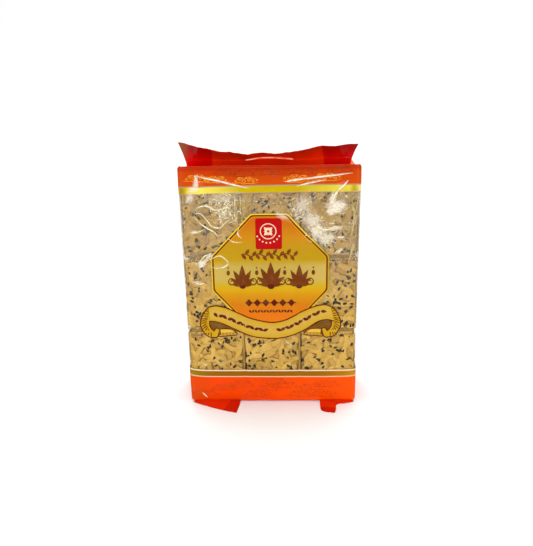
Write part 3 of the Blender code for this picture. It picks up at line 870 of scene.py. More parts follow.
def edge_line(x, base, tilt, sag, left, right):
    """The height of a printed edge across the pack: tilted, sagging and lifted at its ends, like the film."""
    share = x / PRINT_HALF
    height = share * tilt + share * share * sag + base
    for side, lift in ((-1.0, left), (1.0, right)):
        if lift:
            height = height + ((x * side - PRINT_HALF) / 5.0).maths("EXPONENT") * lift
    return height


def band(value, low, high, soft=0.12):
    """1 where the value is between low and high, 0 elsewhere."""
    return value.blend(low - soft, low + soft) * (1 - value.blend(high - soft, high + soft))


def printed_film(graph, place, ink, coat=1.0, dull=0.08, coat_dull=0.08, ribs=None, rib_strength=0.0):
    """Ink behind finely buckled film, ribbed where it is welded, glossiest where it is slack."""
    height = graph.split(place)[2]
    buckles = abs(graph.noise(place, 95.0, 2.0) - 0.5) * (height.blend(0.09, 0.20) * 0.8 + 0.2)
    bump = graph.bump(buckles, 0.55, 0.0010)
    if ribs:
        bump = graph.bump(ribs, rib_strength, 0.0002, bump)
    inputs = {"Base Color": ink, "Roughness": graph.noise(place, 60.0, 2.0) * 0.08 + dull, "Normal": bump}
    inputs |= {"Specular IOR Level": PRINT_SHINE, "Coat Roughness": coat_dull}
    inputs |= {"Coat Weight": (height.blend(0.06, 0.17) * 0.06 + 0.04) * coat}
    return graph.add("ShaderNodeBsdfPrincipled", inputs)


def painted_glare(graph, place):
    """How strong the front's painted glare is at a place: each patch is torn into soft streaks along its length.
    """
    flat = graph.scaled(graph.vector("MULTIPLY", place, (1.0, 0.0, 1.0)), 1000.0)
    total = 0.0
    for (x, z), (half_x, half_z), climb, share, torn in PAINTED_GLARES:
        spot = {"Vector": flat, "Location": (x, 0, z), "Scale": (half_x, 1, half_z)}
        spot |= {"Rotation": (0, math.radians(-climb), 0)}
        spot = graph.add("ShaderNodeMapping", spot, vector_type="TEXTURE")
        grain = graph.vector("MULTIPLY", spot, (half_x / STREAK_LENGTH, 1, half_z / STREAK_WIDTH))
        streaks = graph.noise(graph.plus(grain, (x, z, 0)), 1.0, 3.0, 0.65)
        patch = 0.95 - graph.vector("LENGTH", spot, output=1) + (streaks - 0.5) * torn * 2.0
        total = (patch.blend(0.0, 1.2 - share * 0.6) * share).most(total)
    fine = graph.noise(place, 480.0, 2.0, 0.7)
    facing = 1 - graph.split(place)[1].blend(-0.022, -0.018)
    return total * facing * (fine * 1.2 + 0.32).least(0.97)


def millimetres(graph, place):
    """The x, y and z of a place, in millimetres."""
    return [part * 1000.0 for part in graph.split(place)]


def band_ink(graph, x, z, above, below, front, mottle):
    """The colours of the bands at (x, z): orange, with a gold stripe and a duller gold one, painted olive partly
    as painted shade, between pale lines. The upper stripe's pale streaks on the front are painted highlights.
    """
    share = x / (2 * PRINT_HALF) + 0.5
    # Painted highlight: pale streaks along the upper gold stripe, on the front only.
    gold_and_painted_glints = graph.ramp(
        share,
        (0.000, 196, 170, 50), (0.012, 158, 128, 2), (0.030, 186, 158, 6), (0.050, 232, 206, 44),
        (0.120, 247, 229, 90), (0.350, 204, 174, 2), (0.650, 200, 170, 2), (0.860, 226, 204, 56),
        (0.935, 228, 204, 56), (0.963, 190, 160, 14), (0.980, 216, 190, 60), (1.000, 248, 232, 150),
    )  # fmt: skip
    gold_and_painted_glints = graph.mix(front, colour(210, 182, 8), gold_and_painted_glints)
    # The lower gold stripe painted dark olive: partly painted shade.
    gold_in_painted_shade = graph.ramp(
        share,
        (0.00, 150, 122, 4), (0.06, 140, 110, 0), (0.14, 148, 94, 0), (0.50, 146, 92, 0),
        (0.80, 152, 102, 0), (0.93, 178, 116, 0), (1.00, 186, 136, 10),
    )  # fmt: skip
    top_red = graph.mix((above / 16.0).blend(0.0, 1.0), colour(206, 72, 0), colour(194, 46, 0))
    top_red = graph.mix(mottle * 0.4 + abs(x / PRINT_HALF) ** 6.0 * 0.4, top_red, colour(212, 80, 8))
    top_red = graph.mix(z.blend(213.5, 219.0) * 0.75, top_red, colour(156, 22, 0))
    rightwards = (share + (mottle - 0.5) * 0.5).blend(0.35, 0.90)
    leftwards = ((x * -1.0).blend(48.0, 72.0) + (mottle - 0.5) * 0.8) * front
    low_red = graph.mix(rightwards, colour(240, 68, 0), colour(252, 80, 0))
    low_red = graph.mix(leftwards, low_red, colour(220, 70, 0))
    ink = graph.mix((z / 100.0).blend(0.8, 1.2), low_red, top_red)
    width, outer, inner = GOLD_STRIPE
    ink = graph.mix(band(above, -width, 0.0), ink, gold_and_painted_glints)
    ink = graph.mix(band(above, -outer, 0.0) + band(above, -width, inner - width), ink, colour(176, 146, 122))
    width, outer, inner = LOWER_GOLD_STRIPE
    ink = graph.mix(band(below, 0.0, width), ink, gold_in_painted_shade)
    ink = graph.mix(band(below, 0.0, outer), ink, colour(244, 214, 178))
    return graph.mix(band(below, width - inner, width), ink, colour(226, 188, 146))


def label_ink(graph, x, z, mottle):
    """The label's colours at (x, z), with its outlines and red stamp, and how far (x, z) is past its edge."""
    side = abs(x - LABEL_X)
    past = side - LABEL_HALF
    upper, lower = (past * out + (z - at) * up for at, out, up in (LABEL_UPPER_CUT, LABEL_LOWER_CUT))
    edge = past.maths("SMOOTH_MAX", upper.maths("SMOOTH_MAX", lower, LABEL_SOFT), LABEL_SOFT)
    edge = edge.maths("SMOOTH_MAX", (z - LABEL_TOP).most(LABEL_FOOT - z), LABEL_SOFT)
    field = graph.ramp(
        (z - LABEL_FOOT) / 108.0,
        (0.02, 232, 116, 0), (0.139, 222, 112, 0), (0.231, 206, 118, 0), (0.315, 206, 144, 0),
        (0.352, 210, 158, 0), (0.39, 206, 166, 16), (0.435, 196, 166, 68), (0.55, 190, 162, 72),
        (0.608, 188, 148, 4), (0.73, 190, 142, 0), (0.80, 204, 132, 0), (0.90, 202, 110, 0),
        (0.99, 204, 100, 0),
    )  # fmt: skip
    pale = band(z, 118.0, 135.0, 4.0) * (side / 50.0) ** 2.0
    field = graph.mix(pale * 0.40 + mottle * 0.04, field, colour(212, 182, 104))
    rim = graph.mix(x.blend(-20.0, 20.0), colour(220, 194, 30), colour(192, 160, 12))
    rim = graph.mix(band(z, 100.0, 150.0, 14.0), colour(244, 206, 40), rim)
    for inner, line in ((-3.0, colour(232, 172, 20)), (-2.6, colour(104, 34, 8)), (-1.2, rim)):
        field = graph.mix(edge.blend(inner, inner + 0.2), field, line)
    aside = (abs(x - STAMP_X) - STAMP_HALF_X).most(0.0)
    above = (abs(z - STAMP_Z) - STAMP_HALF_Z).most(0.0)
    stamp = 1 - (aside * aside + above * above).maths("SQRT").blend(1.65, 1.95)
    return graph.mix(stamp, field, graph.mix(mottle, colour(190, 0, 4), colour(180, 2, 6))), edge


def bag_material():
    """Reverse-printed film: orange bands edged in gold, an eight-sided label and clear film between them, under
    painted white glare patches.
    """
    graph, place = new_material("printed_bag_film")
    x, y, z = millimetres(graph, place)
    front = 1 - y.blend(-22.0, -18.0)
    mottle = graph.noise(place, 50.0, 3.0)
    above, below = z - edge_line(x, *UPPER_EDGE), edge_line(x, *LOWER_EDGE) - z
    field, edge = label_ink(graph, x, z, mottle)
    label = (1 - edge.blend(-0.12, 0.12)) * front
    # Painted highlight: white glare patches, mixed into the print and laid over the clear film as white diffuse
    # film.
    haze = painted_glare(graph, place)
    ink = graph.mix(label, band_ink(graph, x, z, above, below, front, mottle), field)
    ink = printed_film(graph, place, graph.mix(haze * 0.85, ink, GLARE_WHITE), 1 - z.blend(212.0, 218.0) * 0.8)
    loose = (z / 1000.0).blend(0.10, 0.20)
    buckles = abs(graph.noise(place, 95.0, 2.0) - 0.5) * (loose * 0.8 + 0.2)
    corners = abs(x).blend(72.0, 75.6) * abs(y).blend(24.5, 26.0) * 0.50
    clear = clear_film(graph, place, loose * mottle * 0.12 + corners, buckles, BAG_MILK)
    clear = graph.mixed(haze * 0.95, clear, graph.add("ShaderNodeBsdfDiffuse", {"Color": GLARE_WHITE}))
    gold_foot = -GOLD_STRIPE[0]
    printed = label.most(above.blend(gold_foot - 0.1, gold_foot + 0.1)).most(below.blend(-0.12, 0.12))
    return graph.surface(graph.mixed(printed, clear, ink))


bag_film = bag_material()
bag = bmesh.new()
lofted = loft(bag, film_rings())
close_base(bag, lofted[0])
bmesh.ops.remove_doubles(bag, verts=lofted[-1], dist=1e-6)
bag = piece("bag_film", bag, bag_film, outwards=True)
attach(bag, "root")
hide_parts("sachima_pack")


# The top seal. The bag's mouth pressed flat and welded: two layers of printed film in the middle and four at the
# sides, where the gussets are caught, so those parts are a deeper red. It ripples, leans forward and has an
# arched slit for a peg.
FIN_THICKNESS = 0.0004
FIN_LEFT_LENGTH, FIN_RIGHT_LENGTH = 0.0218, 0.0184
FIN_TOP_WIDTH, FIN_FLARE_POWER, FIN_RIPPLE = 0.1520, 1.5, 0.0010
FIN_LEANS = (
    (-77, 0), (-68, 15), (-60, 26), (-50, 34), (-40, 41), (-30, 44), (-18, 49), (-5, 45),
    (8, 48), (20, 42), (34, 31), (45, 17), (55, 21), (65, 6), (76, 0),
)  # fmt: skip
SLIT_HALF_SPAN, SLIT_HEIGHT, SLIT_RISE = 0.0195, 0.0011, 0.0022
SLIT_MIDDLE_Z = SHOULDER_TOP + 0.0038
FIN_COLUMNS, FIN_ROWS_BELOW, FIN_ROWS_ABOVE = 190, 7, 17
FIN_ROOT_SHARE = -0.05
FIN_CRIMP_PITCH, FIN_CRIMPED = 0.9, (213.5, 220.0)


def fin_place(u, share):
    """A point of the seal's middle surface: u runs across, share from its foot, 0, to its cut edge, 1."""
    half_width = (FIN_BASE_WIDTH + (FIN_TOP_WIDTH - FIN_BASE_WIDTH) * max(share, 0) ** FIN_FLARE_POWER) / 2
    x = u * half_width + FIN_SHIFT
    length = share * (FIN_LEFT_LENGTH + (FIN_RIGHT_LENGTH - FIN_LEFT_LENGTH) * (u + 1) / 2)
    leans = np.array(FIN_LEANS)
    lean = math.radians(sum(np.interp(x * 1000 + d, leans[:, 0], leans[:, 1]) for d in (-3, 0, 3)) / 3)
    ripple = noise.noise(Vector((x * 90, share * 1.5, 3.0)))
    ripple += 0.5 * noise.noise(Vector((x * 260, share * 2, 8.0)))
    ripple *= FIN_RIPPLE * max(share, 0)
    forward = length * math.sin(lean) + ripple * math.cos(lean)
    up = length * math.cos(lean) - ripple * math.sin(lean)
    return Vector((x, -forward, SHOULDER_TOP - ROOF_DIP + up))


def slit_shares(u):
    """The shares of the slit's lower and upper lips at u: the same share past its ends."""
    reach = min(abs(fin_place(u, 0.3).x) / SLIT_HALF_SPAN, 1.0)
    middle = SLIT_MIDDLE_Z - SLIT_RISE * reach**2
    gap = SLIT_HEIGHT / 2 * math.sqrt(1 - reach**2) if reach < 1 else 0.0
    foot, top = fin_place(u, 0.0).z, fin_place(u, 1.0).z
    return (middle - gap - foot) / (top - foot), (middle + gap - foot) / (top - foot)


def fin_material():
    """Red print seen through two or four layers, with the weld's fine ribs; painted light brightens its foot, in
    shade behind the crest, and painted highlights pale its left tip and the slit's lip.
    """
    graph, place = new_material("printed_seal_film")
    x, y, z = millimetres(graph, place)
    wander = (graph.noise(place, 60.0, 2.0) - 0.5) * 4.0 + (z - 220.0) * 0.12
    doubled = (x * -1.0 + wander).blend(47.0, 49.5) + (x + wander).blend(44.0, 46.5)
    foot = z - (SHOULDER_TOP - ROOF_DIP) * 1000
    up = (y * y + foot * foot).maths("SQRT").blend(6.0, 20.0) + (graph.noise(place, 80.0, 2.0) - 0.5) * 0.5
    # Painted light: the ink is brighter near the seal's foot, which lies in shade behind the shoulder's crest.
    ink = graph.mix(up, colour(244, 50, 2), colour(180, 36, 3))
    ink = graph.mix(doubled, ink, graph.mix(up, colour(220, 6, 2), colour(156, 6, 3)))
    ink = graph.mix(x.blend(5.0, 60.0) * 0.35, ink, colour(130, 8, 2))
    # Painted highlight: the left tip is paled to grey-brown.
    ink = graph.mix((foot * 0.25 - x).blend(69.0, 78.0) * 0.85, ink, colour(150, 82, 50))
    # Painted highlight: a pale pink line along the slit's lip, broken into patches.
    reach = abs(x) / (SLIT_HALF_SPAN * 1000)
    lip_highlight = abs(z - SLIT_MIDDLE_Z * 1000 + reach * reach * (SLIT_RISE * 1000))
    lip_highlight_breaks = graph.noise(place, 150.0, 1.0).blend(0.35, 0.6) * 0.7 + 0.3
    lip_highlight = (1 - lip_highlight.blend(0.35, 1.0)) * (1 - reach.blend(0.97, 1.06)) * lip_highlight_breaks
    ink = graph.mix(lip_highlight, ink, colour(255, 198, 164))
    ribs = (z * 6.28 / FIN_CRIMP_PITCH).maths("SINE") * band(z, *FIN_CRIMPED, 0.5)
    film = printed_film(graph, place, ink, dull=0.13, coat_dull=0.10, ribs=ribs, rib_strength=0.10)
    return graph.surface(film)


fin = bmesh.new()
sides = []
for side in (-1, 1):
    columns = []
    for i in range(FIN_COLUMNS + 1):
        u = 2 * i / FIN_COLUMNS - 1
        low, high = slit_shares(u)
        shares = [*np.linspace(FIN_ROOT_SHARE, low, FIN_ROWS_BELOW), *np.linspace(high, 1.0, FIN_ROWS_ABOVE)]
        across_fin = (fin_place(min(u + 0.01, 1), 0.5) - fin_place(max(u - 0.01, -1), 0.5)).normalized()
        up_fin = (fin_place(u, 1.0) - fin_place(u, 0.0)).normalized()
        outwards = across_fin.cross(up_fin) * side * FIN_THICKNESS / 2
        columns.append([fin.verts.new(fin_place(u, share) - outwards) for share in shares])
    sides.append(columns)
rows = FIN_ROWS_BELOW + FIN_ROWS_ABOVE
solid_rows = [j for j in range(rows - 1) if j != FIN_ROWS_BELOW - 1]
for side, columns in enumerate(sides):
    for near, far in zip(columns, columns[1:]):
        for j in solid_rows:
            corners = (near[j], far[j], far[j + 1], near[j + 1])
            fin.faces.new(corners if side else corners[::-1])
back, front = sides
for near, far, near_back, far_back in zip(front, front[1:], back, back[1:]):
    for j in (0, FIN_ROWS_BELOW - 1, FIN_ROWS_BELOW, rows - 1):
        fin.faces.new((near[j], far[j], far_back[j], near_back[j]))
for column, column_back in ((front[0], back[0]), (front[-1], back[-1])):
    for j in solid_rows:
        fin.faces.new((column[j], column[j + 1], column_back[j + 1], column_back[j]))
bmesh.ops.remove_doubles(fin, verts=fin.verts, dist=1e-6)
fin = piece("top_seal", fin, fin_material(), outwards=True)
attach(fin, "root")


# The print on the label. It lies on the inner side of the film: a gold ribbon that curls back at both ends, a
# flower in a ring on the red stamp, brown palmettes with scrolls, and rows of lozenges and leaves. Each is a
# thin layer of ink that follows the film's relief.
INK_BURIED, INK_STEP = 0.05, 1.1
# How far each layer of ink stands off the film, in millimetres: what covers another layer stands higher
LIFT, CORE_LIFT, DOT_LIFT, CURL_LIFT, STEM_LIFT = 0.12, 0.14, 0.15, 0.13, 0.10
FOLD_LIFT, TAIL_LIFT, TAIL_HATCH_LIFT, TAIL_LINE_LIFT = 0.08, 0.10, 0.13, 0.14
HATCH_LIFT, CURL_LINE_LIFT, RIBBON_LIFT, RIBBON_LINE_LIFT, LEAF_LIFT = 0.15, 0.16, 0.18, 0.22, 0.23
MAROON, BROWN, TAN = colour(92, 22, 2), colour(112, 50, 0), colour(120, 54, 2)
GOLD, PALE_GOLD, OLD_GOLD = colour(202, 156, 10), colour(224, 180, 62), colour(112, 74, 10)
CREAM, FADED_GOLD = colour(244, 214, 180), colour(206, 174, 96)


def smooth_path(points, step=INK_STEP):
    """A smooth run of points, about a step apart, through these ones."""
    points = np.array(points, float)
    ends = np.vstack([2 * points[0] - points[1], points, 2 * points[-1] - points[-2]])
    run = []
    for a, b, c, d in zip(ends, ends[1:], ends[2:], ends[3:]):
        t = np.linspace(0, 1, max(round(np.hypot(*(c - b)) / step), 1), endpoint=False)[:, None]
        cubic = (2 * a - 5 * b + 4 * c - d) * t**2 + (3 * b - 3 * c + d - a) * t**3
        run.append(0.5 * (2 * b + (c - a) * t + cubic))
    return np.vstack([*run, points[-1:]])


def closed(points, step=INK_STEP):
    """A smooth outline through these points, back to the first one."""
    return smooth_path([*points, points[0]], step)


def on_front(points, height):
    """Places on the front panel, this many millimetres above the film."""
    x, z = np.array(points).T / 1000
    return np.stack([x, front_y(x, z) - height / 1000, z], axis=1)


def add_points(bm, places, ink=None):
    """Adds a point at each place, with its ink if there is one."""
    verts = [bm.verts.new(place) for place in places]
    if ink:
        tint = bm.verts.layers.float_color["ink"]
        for vert in verts:
            vert[tint] = ink
    return verts


def plate(bm, outline, place, low, high, step, ink=None):
    """A thin closed plate inside this outline. Place turns flat points and a height into places in space."""
    outline = np.array(outline, float)
    after = np.roll(outline, -1, axis=0)
    run = after - outline
    span = [np.arange(a + step / 2, b, step) for a, b in zip(outline.min(axis=0), outline.max(axis=0))]
    inner = []
    for point in product(*span):
        x, y = np.array(point)
        crossed = (outline[:, 1] > y) != (after[:, 1] > y)
        with np.errstate(divide="ignore", invalid="ignore"):
            cut = run[:, 0] * (y - outline[:, 1]) / run[:, 1] + outline[:, 0]
        if np.count_nonzero(crossed & (x < cut)) % 2 and np.hypot(*(outline - point).T).min() > step * 0.6:
            inner.append(point)
    flat = [Vector(point) for point in (*outline, *inner)]
    rim = [(i, (i + 1) % len(outline)) for i in range(len(outline))]
    points, _, faces, *_ = geometry.delaunay_2d_cdt(flat, rim, [], 1, 1e-5)
    under, over = (add_points(bm, place(points, height), ink) for height in (low, high))
    edges = {(i, j) for face in faces for i, j in zip(face, (*face[1:], face[0]))}
    for face in faces:
        bm.faces.new([over[i] for i in face])
        bm.faces.new([under[i] for i in reversed(face)])
    for i, j in sorted(edges):
        if (j, i) not in edges:
            bm.faces.new((over[j], over[i], under[i], under[j]))


def ink_patch(bm, outline, lift, ink):
    """A printed shape."""
    plate(bm, outline, on_front, -INK_BURIED, lift, 3.0, ink)


def run_along(bm, points, width, corners, taper=0.0):
    """A closed strip along these points, whose section has these corners, each a side, a height and an ink."""
    ahead = np.gradient(points, axis=0)
    ahead /= np.hypot(*ahead.T)[:, None]
    full = 1 - taper + taper * np.sin(np.pi * np.linspace(0, 1, len(points)))[:, None]
    sideways = np.stack([-ahead[:, 1], ahead[:, 0]], axis=1) * full * width / 2
    runs = [add_points(bm, on_front(points + side * sideways, height), ink) for side, height, ink in corners]
    for near, far in zip(runs, (*runs[1:], runs[0])):
        for i in range(len(points) - 1):
            bm.faces.new((near[i], near[i + 1], far[i + 1], far[i]))
    for end in (0, -1):
        bm.faces.new([run[end] for run in runs])


def ink_line(bm, points, width, lift, ink, taper=0.0):
    """A printed line, which may run to points at its ends."""
    corners = ((-1, -INK_BURIED, ink), (1, -INK_BURIED, ink), (1, lift, ink), (-1, lift, ink))
    run_along(bm, points, width, corners, taper)


def turned(a, b, x, z, turn):
    """Flat points (a, b) turned by an angle in degrees and moved to (x, z)."""
    c, s = math.cos(math.radians(turn)), math.sin(math.radians(turn))
    return np.stack([x + a * c - b * s, z + a * s + b * c], axis=1)


def oval(x, z, half_x, half_z, count=12):
    """The outline of an upright oval."""
    t = np.linspace(0, 2 * math.pi, count, endpoint=False)
    return turned(half_x * np.cos(t), half_z * np.sin(t), x, z, 0.0)


def petal(x, z, length, width, turn, count=8):
    """The outline of a pointed petal that grows from (x, z) in this direction, in degrees."""
    share = np.linspace(0, 1, count)
    half = width / 2 * np.sin(np.pi * share**0.8)
    return turned(np.r_[share, share[-2:0:-1]] * length, np.r_[half, -half[-2:0:-1]], x, z, turn)


def scroll(x, z, size, start, turns, opening=0.28):
    """A spiral line around (x, z), inwards from this angle in degrees. Negative turns run clockwise."""
    share = np.linspace(0, 1, max(int(abs(turns) * 14), 6))
    angle = math.radians(start) + 2 * math.pi * turns * share
    radius = size * (1 - (1 - opening) * share)
    return np.stack([x + radius * np.cos(angle), z + radius * np.sin(angle)], axis=1)


def new_print():
    """An empty mesh whose points can carry an ink."""
    bm = bmesh.new()
    bm.verts.layers.float_color.new("ink")
    return bm


def ink_material():
    """Printing ink behind glossy film, a little uneven in its tone, and whitened by painted glare where the
    film's glare patches cross it.
    """
    graph, place = new_material("printing_ink")
    ink = graph.attribute("ink", output=0)
    uneven_ink_and_glare = graph.mix(graph.noise(place, 160.0, 2.0).blend(0.40, 0.75) * 0.05, ink, colour(240, 214, 130))
    # Painted highlight: the film's glare patches whiten the ink too.
    uneven_ink_and_glare = graph.mix(painted_glare(graph, place) * 0.8, uneven_ink_and_glare, GLARE_WHITE)
    return graph.surface(printed_film(graph, place, uneven_ink_and_glare))


RIBBON_TOP = (
    (-55, 94.8), (-48.1, 95.9), (-39.7, 93.9), (-33.4, 91), (-19.2, 84.2), (-5.9, 80.6), (3, 79.9), (12, 82),
    (20, 86), (27.7, 90.6), (38.1, 95), (46.8, 96.4), (52, 94.7),
)  # fmt: skip
RIBBON_BASE = (
    (-54.6, 81.5), (-48.7, 80.8), (-40.8, 77.9), (-32.9, 73.7), (-22.3, 68.3), (-11.6, 65.3), (2.8, 64.4),
    (13, 65.8), (22.3, 69), (30.3, 73.3), (40.9, 80.5), (48.7, 82.3), (54.9, 80.9),
)  # fmt: skip
CURL_OUTER = (
    (-55, 94.8), (-59.1, 89.6), (-62, 83.3), (-62.7, 76.3), (-60, 70.3), (-55.9, 66.2), (-49.4, 65.3),
)  # fmt: skip
CURL_TIP = ((-49.4, 65.3), (-46, 69.1), (-46.4, 73.2), (-49, 74.4), (-51.3, 71.4))
CURL_INNER = ((-51.3, 71.4), (-53.6, 74.5), (-54.9, 78), (-54.6, 81.5))
CURL_CREASE = ((-51.0, 92.0), (-53.5, 87), (-55, 82), (-55.2, 77), (-53.8, 73.6), (-51.6, 71.4))
TAIL = ((-46.2, 73.2), (-43.7, 73.8), (-35.6, 73.2), (-30.9, 69), (-30.9, 67.8), (-44, 66.7), (-47.4, 67))
FOLD = (
    (-54.6, 81.5), (-48.7, 80.8), (-40.8, 77.9), (-32.9, 73.7), (-30.9, 69), (-35.6, 73.2), (-43.7, 73.8),
    (-46.4, 73.2), (-49, 74.4), (-51.3, 71.4), (-53.6, 74.5),
)  # fmt: skip
MIRROR_X = -2.1
OUTLINE_WIDTH = 1.05


def flipped(points, side):
    """The same points, or their mirror image for the ribbon's right end."""
    points = np.array(points, float)
    return points if side < 0 else np.stack([MIRROR_X - points[:, 0], points[:, 1]], axis=1)


art = new_print()
ribbon_top, ribbon_base = smooth_path(RIBBON_TOP), smooth_path(RIBBON_BASE)
for side in (-1, 1):
    outer, tip, inner = (smooth_path(flipped(path, side)) for path in (CURL_OUTER, CURL_TIP, CURL_INNER))
    tail = closed(flipped(TAIL, side))
    ink_patch(art, flipped(FOLD, side), FOLD_LIFT, OLD_GOLD)
    ink_patch(art, tail[:-1], TAIL_LIFT, PALE_GOLD)
    ink_line(art, tail, 0.95, TAIL_LINE_LIFT, MAROON)
    for share in np.linspace(0.08, 0.92, 11):
        foot = flipped([(-46.5 + 15.0 * share, 67.4 + 0.6 * share)], side)[0]
        ink_line(art, np.array([foot, foot + (0, 2.6)]), 0.55, TAIL_HATCH_LIFT, MAROON)
    ink_patch(art, np.vstack([outer[:-1], tip[:-1], inner[:-1]]), LIFT, GOLD)
    for path in (outer, tip, inner):
        ink_line(art, path, OUTLINE_WIDTH, CURL_LINE_LIFT, MAROON)
    crease = smooth_path(flipped(CURL_CREASE, side))
    for share in np.linspace(0.06, 0.88, 13):
        edge, root = (line[round(share * (len(line) - 1))] for line in (outer, crease))
        hatch = smooth_path([edge + (root - edge) * 0.05, edge + (root - edge) * 0.80])
        ink_line(art, hatch, OUTLINE_WIDTH, HATCH_LIFT, MAROON, 0.6)
plain = len(art.verts)
ink_patch(art, np.vstack([ribbon_top, ribbon_base[::-1]]), RIBBON_LIFT, GOLD)
art.verts.ensure_lookup_table()
tint = art.verts.layers.float_color["ink"]
for vert in art.verts[plain:]:
    base, top = (np.interp(vert.co.x * 1000, *path.T) for path in (ribbon_base, ribbon_top))
    faded = 0.45 * math.sin(math.pi * min(max((vert.co.z * 1000 - base) / (top - base), 0.0), 1.0))
    vert[tint] = Vector(GOLD).lerp(Vector(FADED_GOLD), faded)
for path in (ribbon_top, ribbon_base):
    ink_line(art, path, OUTLINE_WIDTH, RIBBON_LINE_LIFT, MAROON)
for i, x in enumerate(np.arange(-48.5, 49, 3.9)):
    if abs(x + 1) > 4:
        middle = sum(np.interp(x, *path.T) for path in (ribbon_top, ribbon_base)) / 2
        up = 1 if i % 2 else -1
        leaf = petal(x - 2.0, middle - 1.2 * up, 5.4, 3.0, (x + 1) * 0.55 + 28 * up)
        ink_patch(art, leaf, LEAF_LIFT, MAROON)

# The flower in its ring, over a row of dots
FLOWER, RING_RADIUS, DOTS_RADIUS = Vector((-1.6, 163.4)), 6.6, 10.2
ring = oval(*FLOWER, RING_RADIUS, RING_RADIUS, count=40)
ink_line(art, np.vstack([ring, ring[:1]]), 0.8, LIFT, CREAM)
for turn in range(45, 405, 90):
    ink_patch(art, petal(*FLOWER, 5.0, 3.0, turn), LIFT, CREAM)
    ink_patch(art, petal(*FLOWER, 3.8, 1.5, turn + 45), LIFT, CREAM)
ink_patch(art, oval(*FLOWER, 1.2, 1.2), DOT_LIFT, colour(196, 4, 8))
for turn in np.linspace(205, 335, 8):
    x = FLOWER.x + DOTS_RADIUS * math.cos(math.radians(turn))
    z = FLOWER.y + DOTS_RADIUS * math.sin(math.radians(turn))
    ink_patch(art, oval(x, z, 0.75, 0.75, count=8), LIFT, CREAM)

# Three palmettes, each between two small scrolls, and buds beside them
PALMETTE_FOOT = 114.6
PALMETTE_LEAVES = ((0, 17.0, 5.2), (28, 14.5, 4.2), (56, 11.5, 3.6), (82, 8.5, 2.8))
for middle_x, size in ((-24.5, 1.12), (0.0, 1.28), (24.5, 1.12)):
    for apart, length, width in PALMETTE_LEAVES:
        for turn in sorted({90 - apart, 90 + apart}):
            ink_patch(art, petal(middle_x, PALMETTE_FOOT, length * size, width * size, turn), LIFT, BROWN)
    ink_patch(art, oval(middle_x, PALMETTE_FOOT - 1.0, 2.4 * size, 1.8 * size), CORE_LIFT, MAROON)
    for side in (-1, 1):
        curl = scroll(middle_x + side * 9.0, 118.0, 3.6, 90 + 10 * side, -1.25 * side)
        ink_line(art, curl, 1.2, CURL_LIFT, BROWN, 0.5)
for x in (-36.5, -12.0, 12.0, 36.5):
    ink_patch(art, oval(x, 126.5, 1.5, 2.3), LIFT, BROWN)
    ink_patch(art, oval(x, 131.0, 0.8, 0.8, count=8), LIFT, BROWN)


def stem_height(x):
    """The garland's stem: a gentle wave."""
    return 142.4 + 1.1 * np.sin((x + 25) / 11.75 * 2 * math.pi)


# The leafy garland over the palmettes, and the lozenges and leaves under them
stem = np.arange(-25, 22.5, 0.9)
ink_line(art, np.stack([stem, stem_height(stem)], axis=1), 0.9, STEM_LIFT, BROWN)
for i, x in enumerate(np.arange(-24, 23, 2.94)):
    ink_patch(art, petal(x, stem_height(x), 5.6, 3.0, 55 if i % 2 else -55), LIFT, TAN)
LOZENGE = ((-3.2, 0), (0, -3.5), (3.2, 0), (0, 3.5))
LOZENGES_Z, LEAVES_Z = 98.6, 90.6
for x in np.linspace(-19.5, 17.5, 6):
    ink_patch(art, [(x + a, LOZENGES_Z + b) for a, b in LOZENGE], LIFT, MAROON)
    ink_patch(art, oval(x + 3.7, LOZENGES_Z, 0.6, 0.6, count=8), LIFT, MAROON)
for i, x in enumerate(np.linspace(-18.5, 17.5, 15)):
    up = 1 if i % 2 else -1
    ink_patch(art, petal(x - 0.9, LEAVES_Z - 1.3 * up, 3.4, 1.8, 58 * up), LIFT, MAROON)

inks = ink_material()
art = piece("label_print", art, inks, smooth=False, outwards=True)
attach(art, "root")


# The print on the bands. Fine gold cloud scrolls stand in two groups on the upper band, and fainter ones in a
# deeper orange fill the rest of both bands.

# The scrolls of a group: x, z and radius, then the angle where each starts and its turns. Then their tails.
SCROLL_GROUP = (
    (0.0, 0.0, 2.6, 200, -1.35), (5.6, 1.0, 2.0, 340, 1.30), (9.8, -0.6, 1.6, 190, -1.25),
    (-4.6, 1.6, 1.5, 330, 1.2), (2.8, 3.0, 1.2, 210, -1.1), (13.6, 0.8, 1.3, 340, 1.1),
    (-8.0, -0.4, 1.2, 200, -1.1),
)  # fmt: skip
SCROLL_TAILS = (
    (
        (-12.5, -1.2), (-8.5, -2.2), (-4.0, -1.6), (-1.0, -3.0),
        (3.5, -2.4), (7.5, -2.6), (11.0, -2.4), (16.0, -1.0),
    ),
    ((-7.2, 1.4), (-5.6, 3.3), (-2.6, 3.4), (0.8, 2.6)),
    ((4.0, 4.2), (7.0, 3.8), (9.4, 2.0), (12.6, 2.4)),
)  # fmt: skip
CLOUD_GOLD, CLOUD_RED, CLOUD_ORANGE = colour(238, 170, 44), colour(150, 46, 4), colour(196, 62, 6)
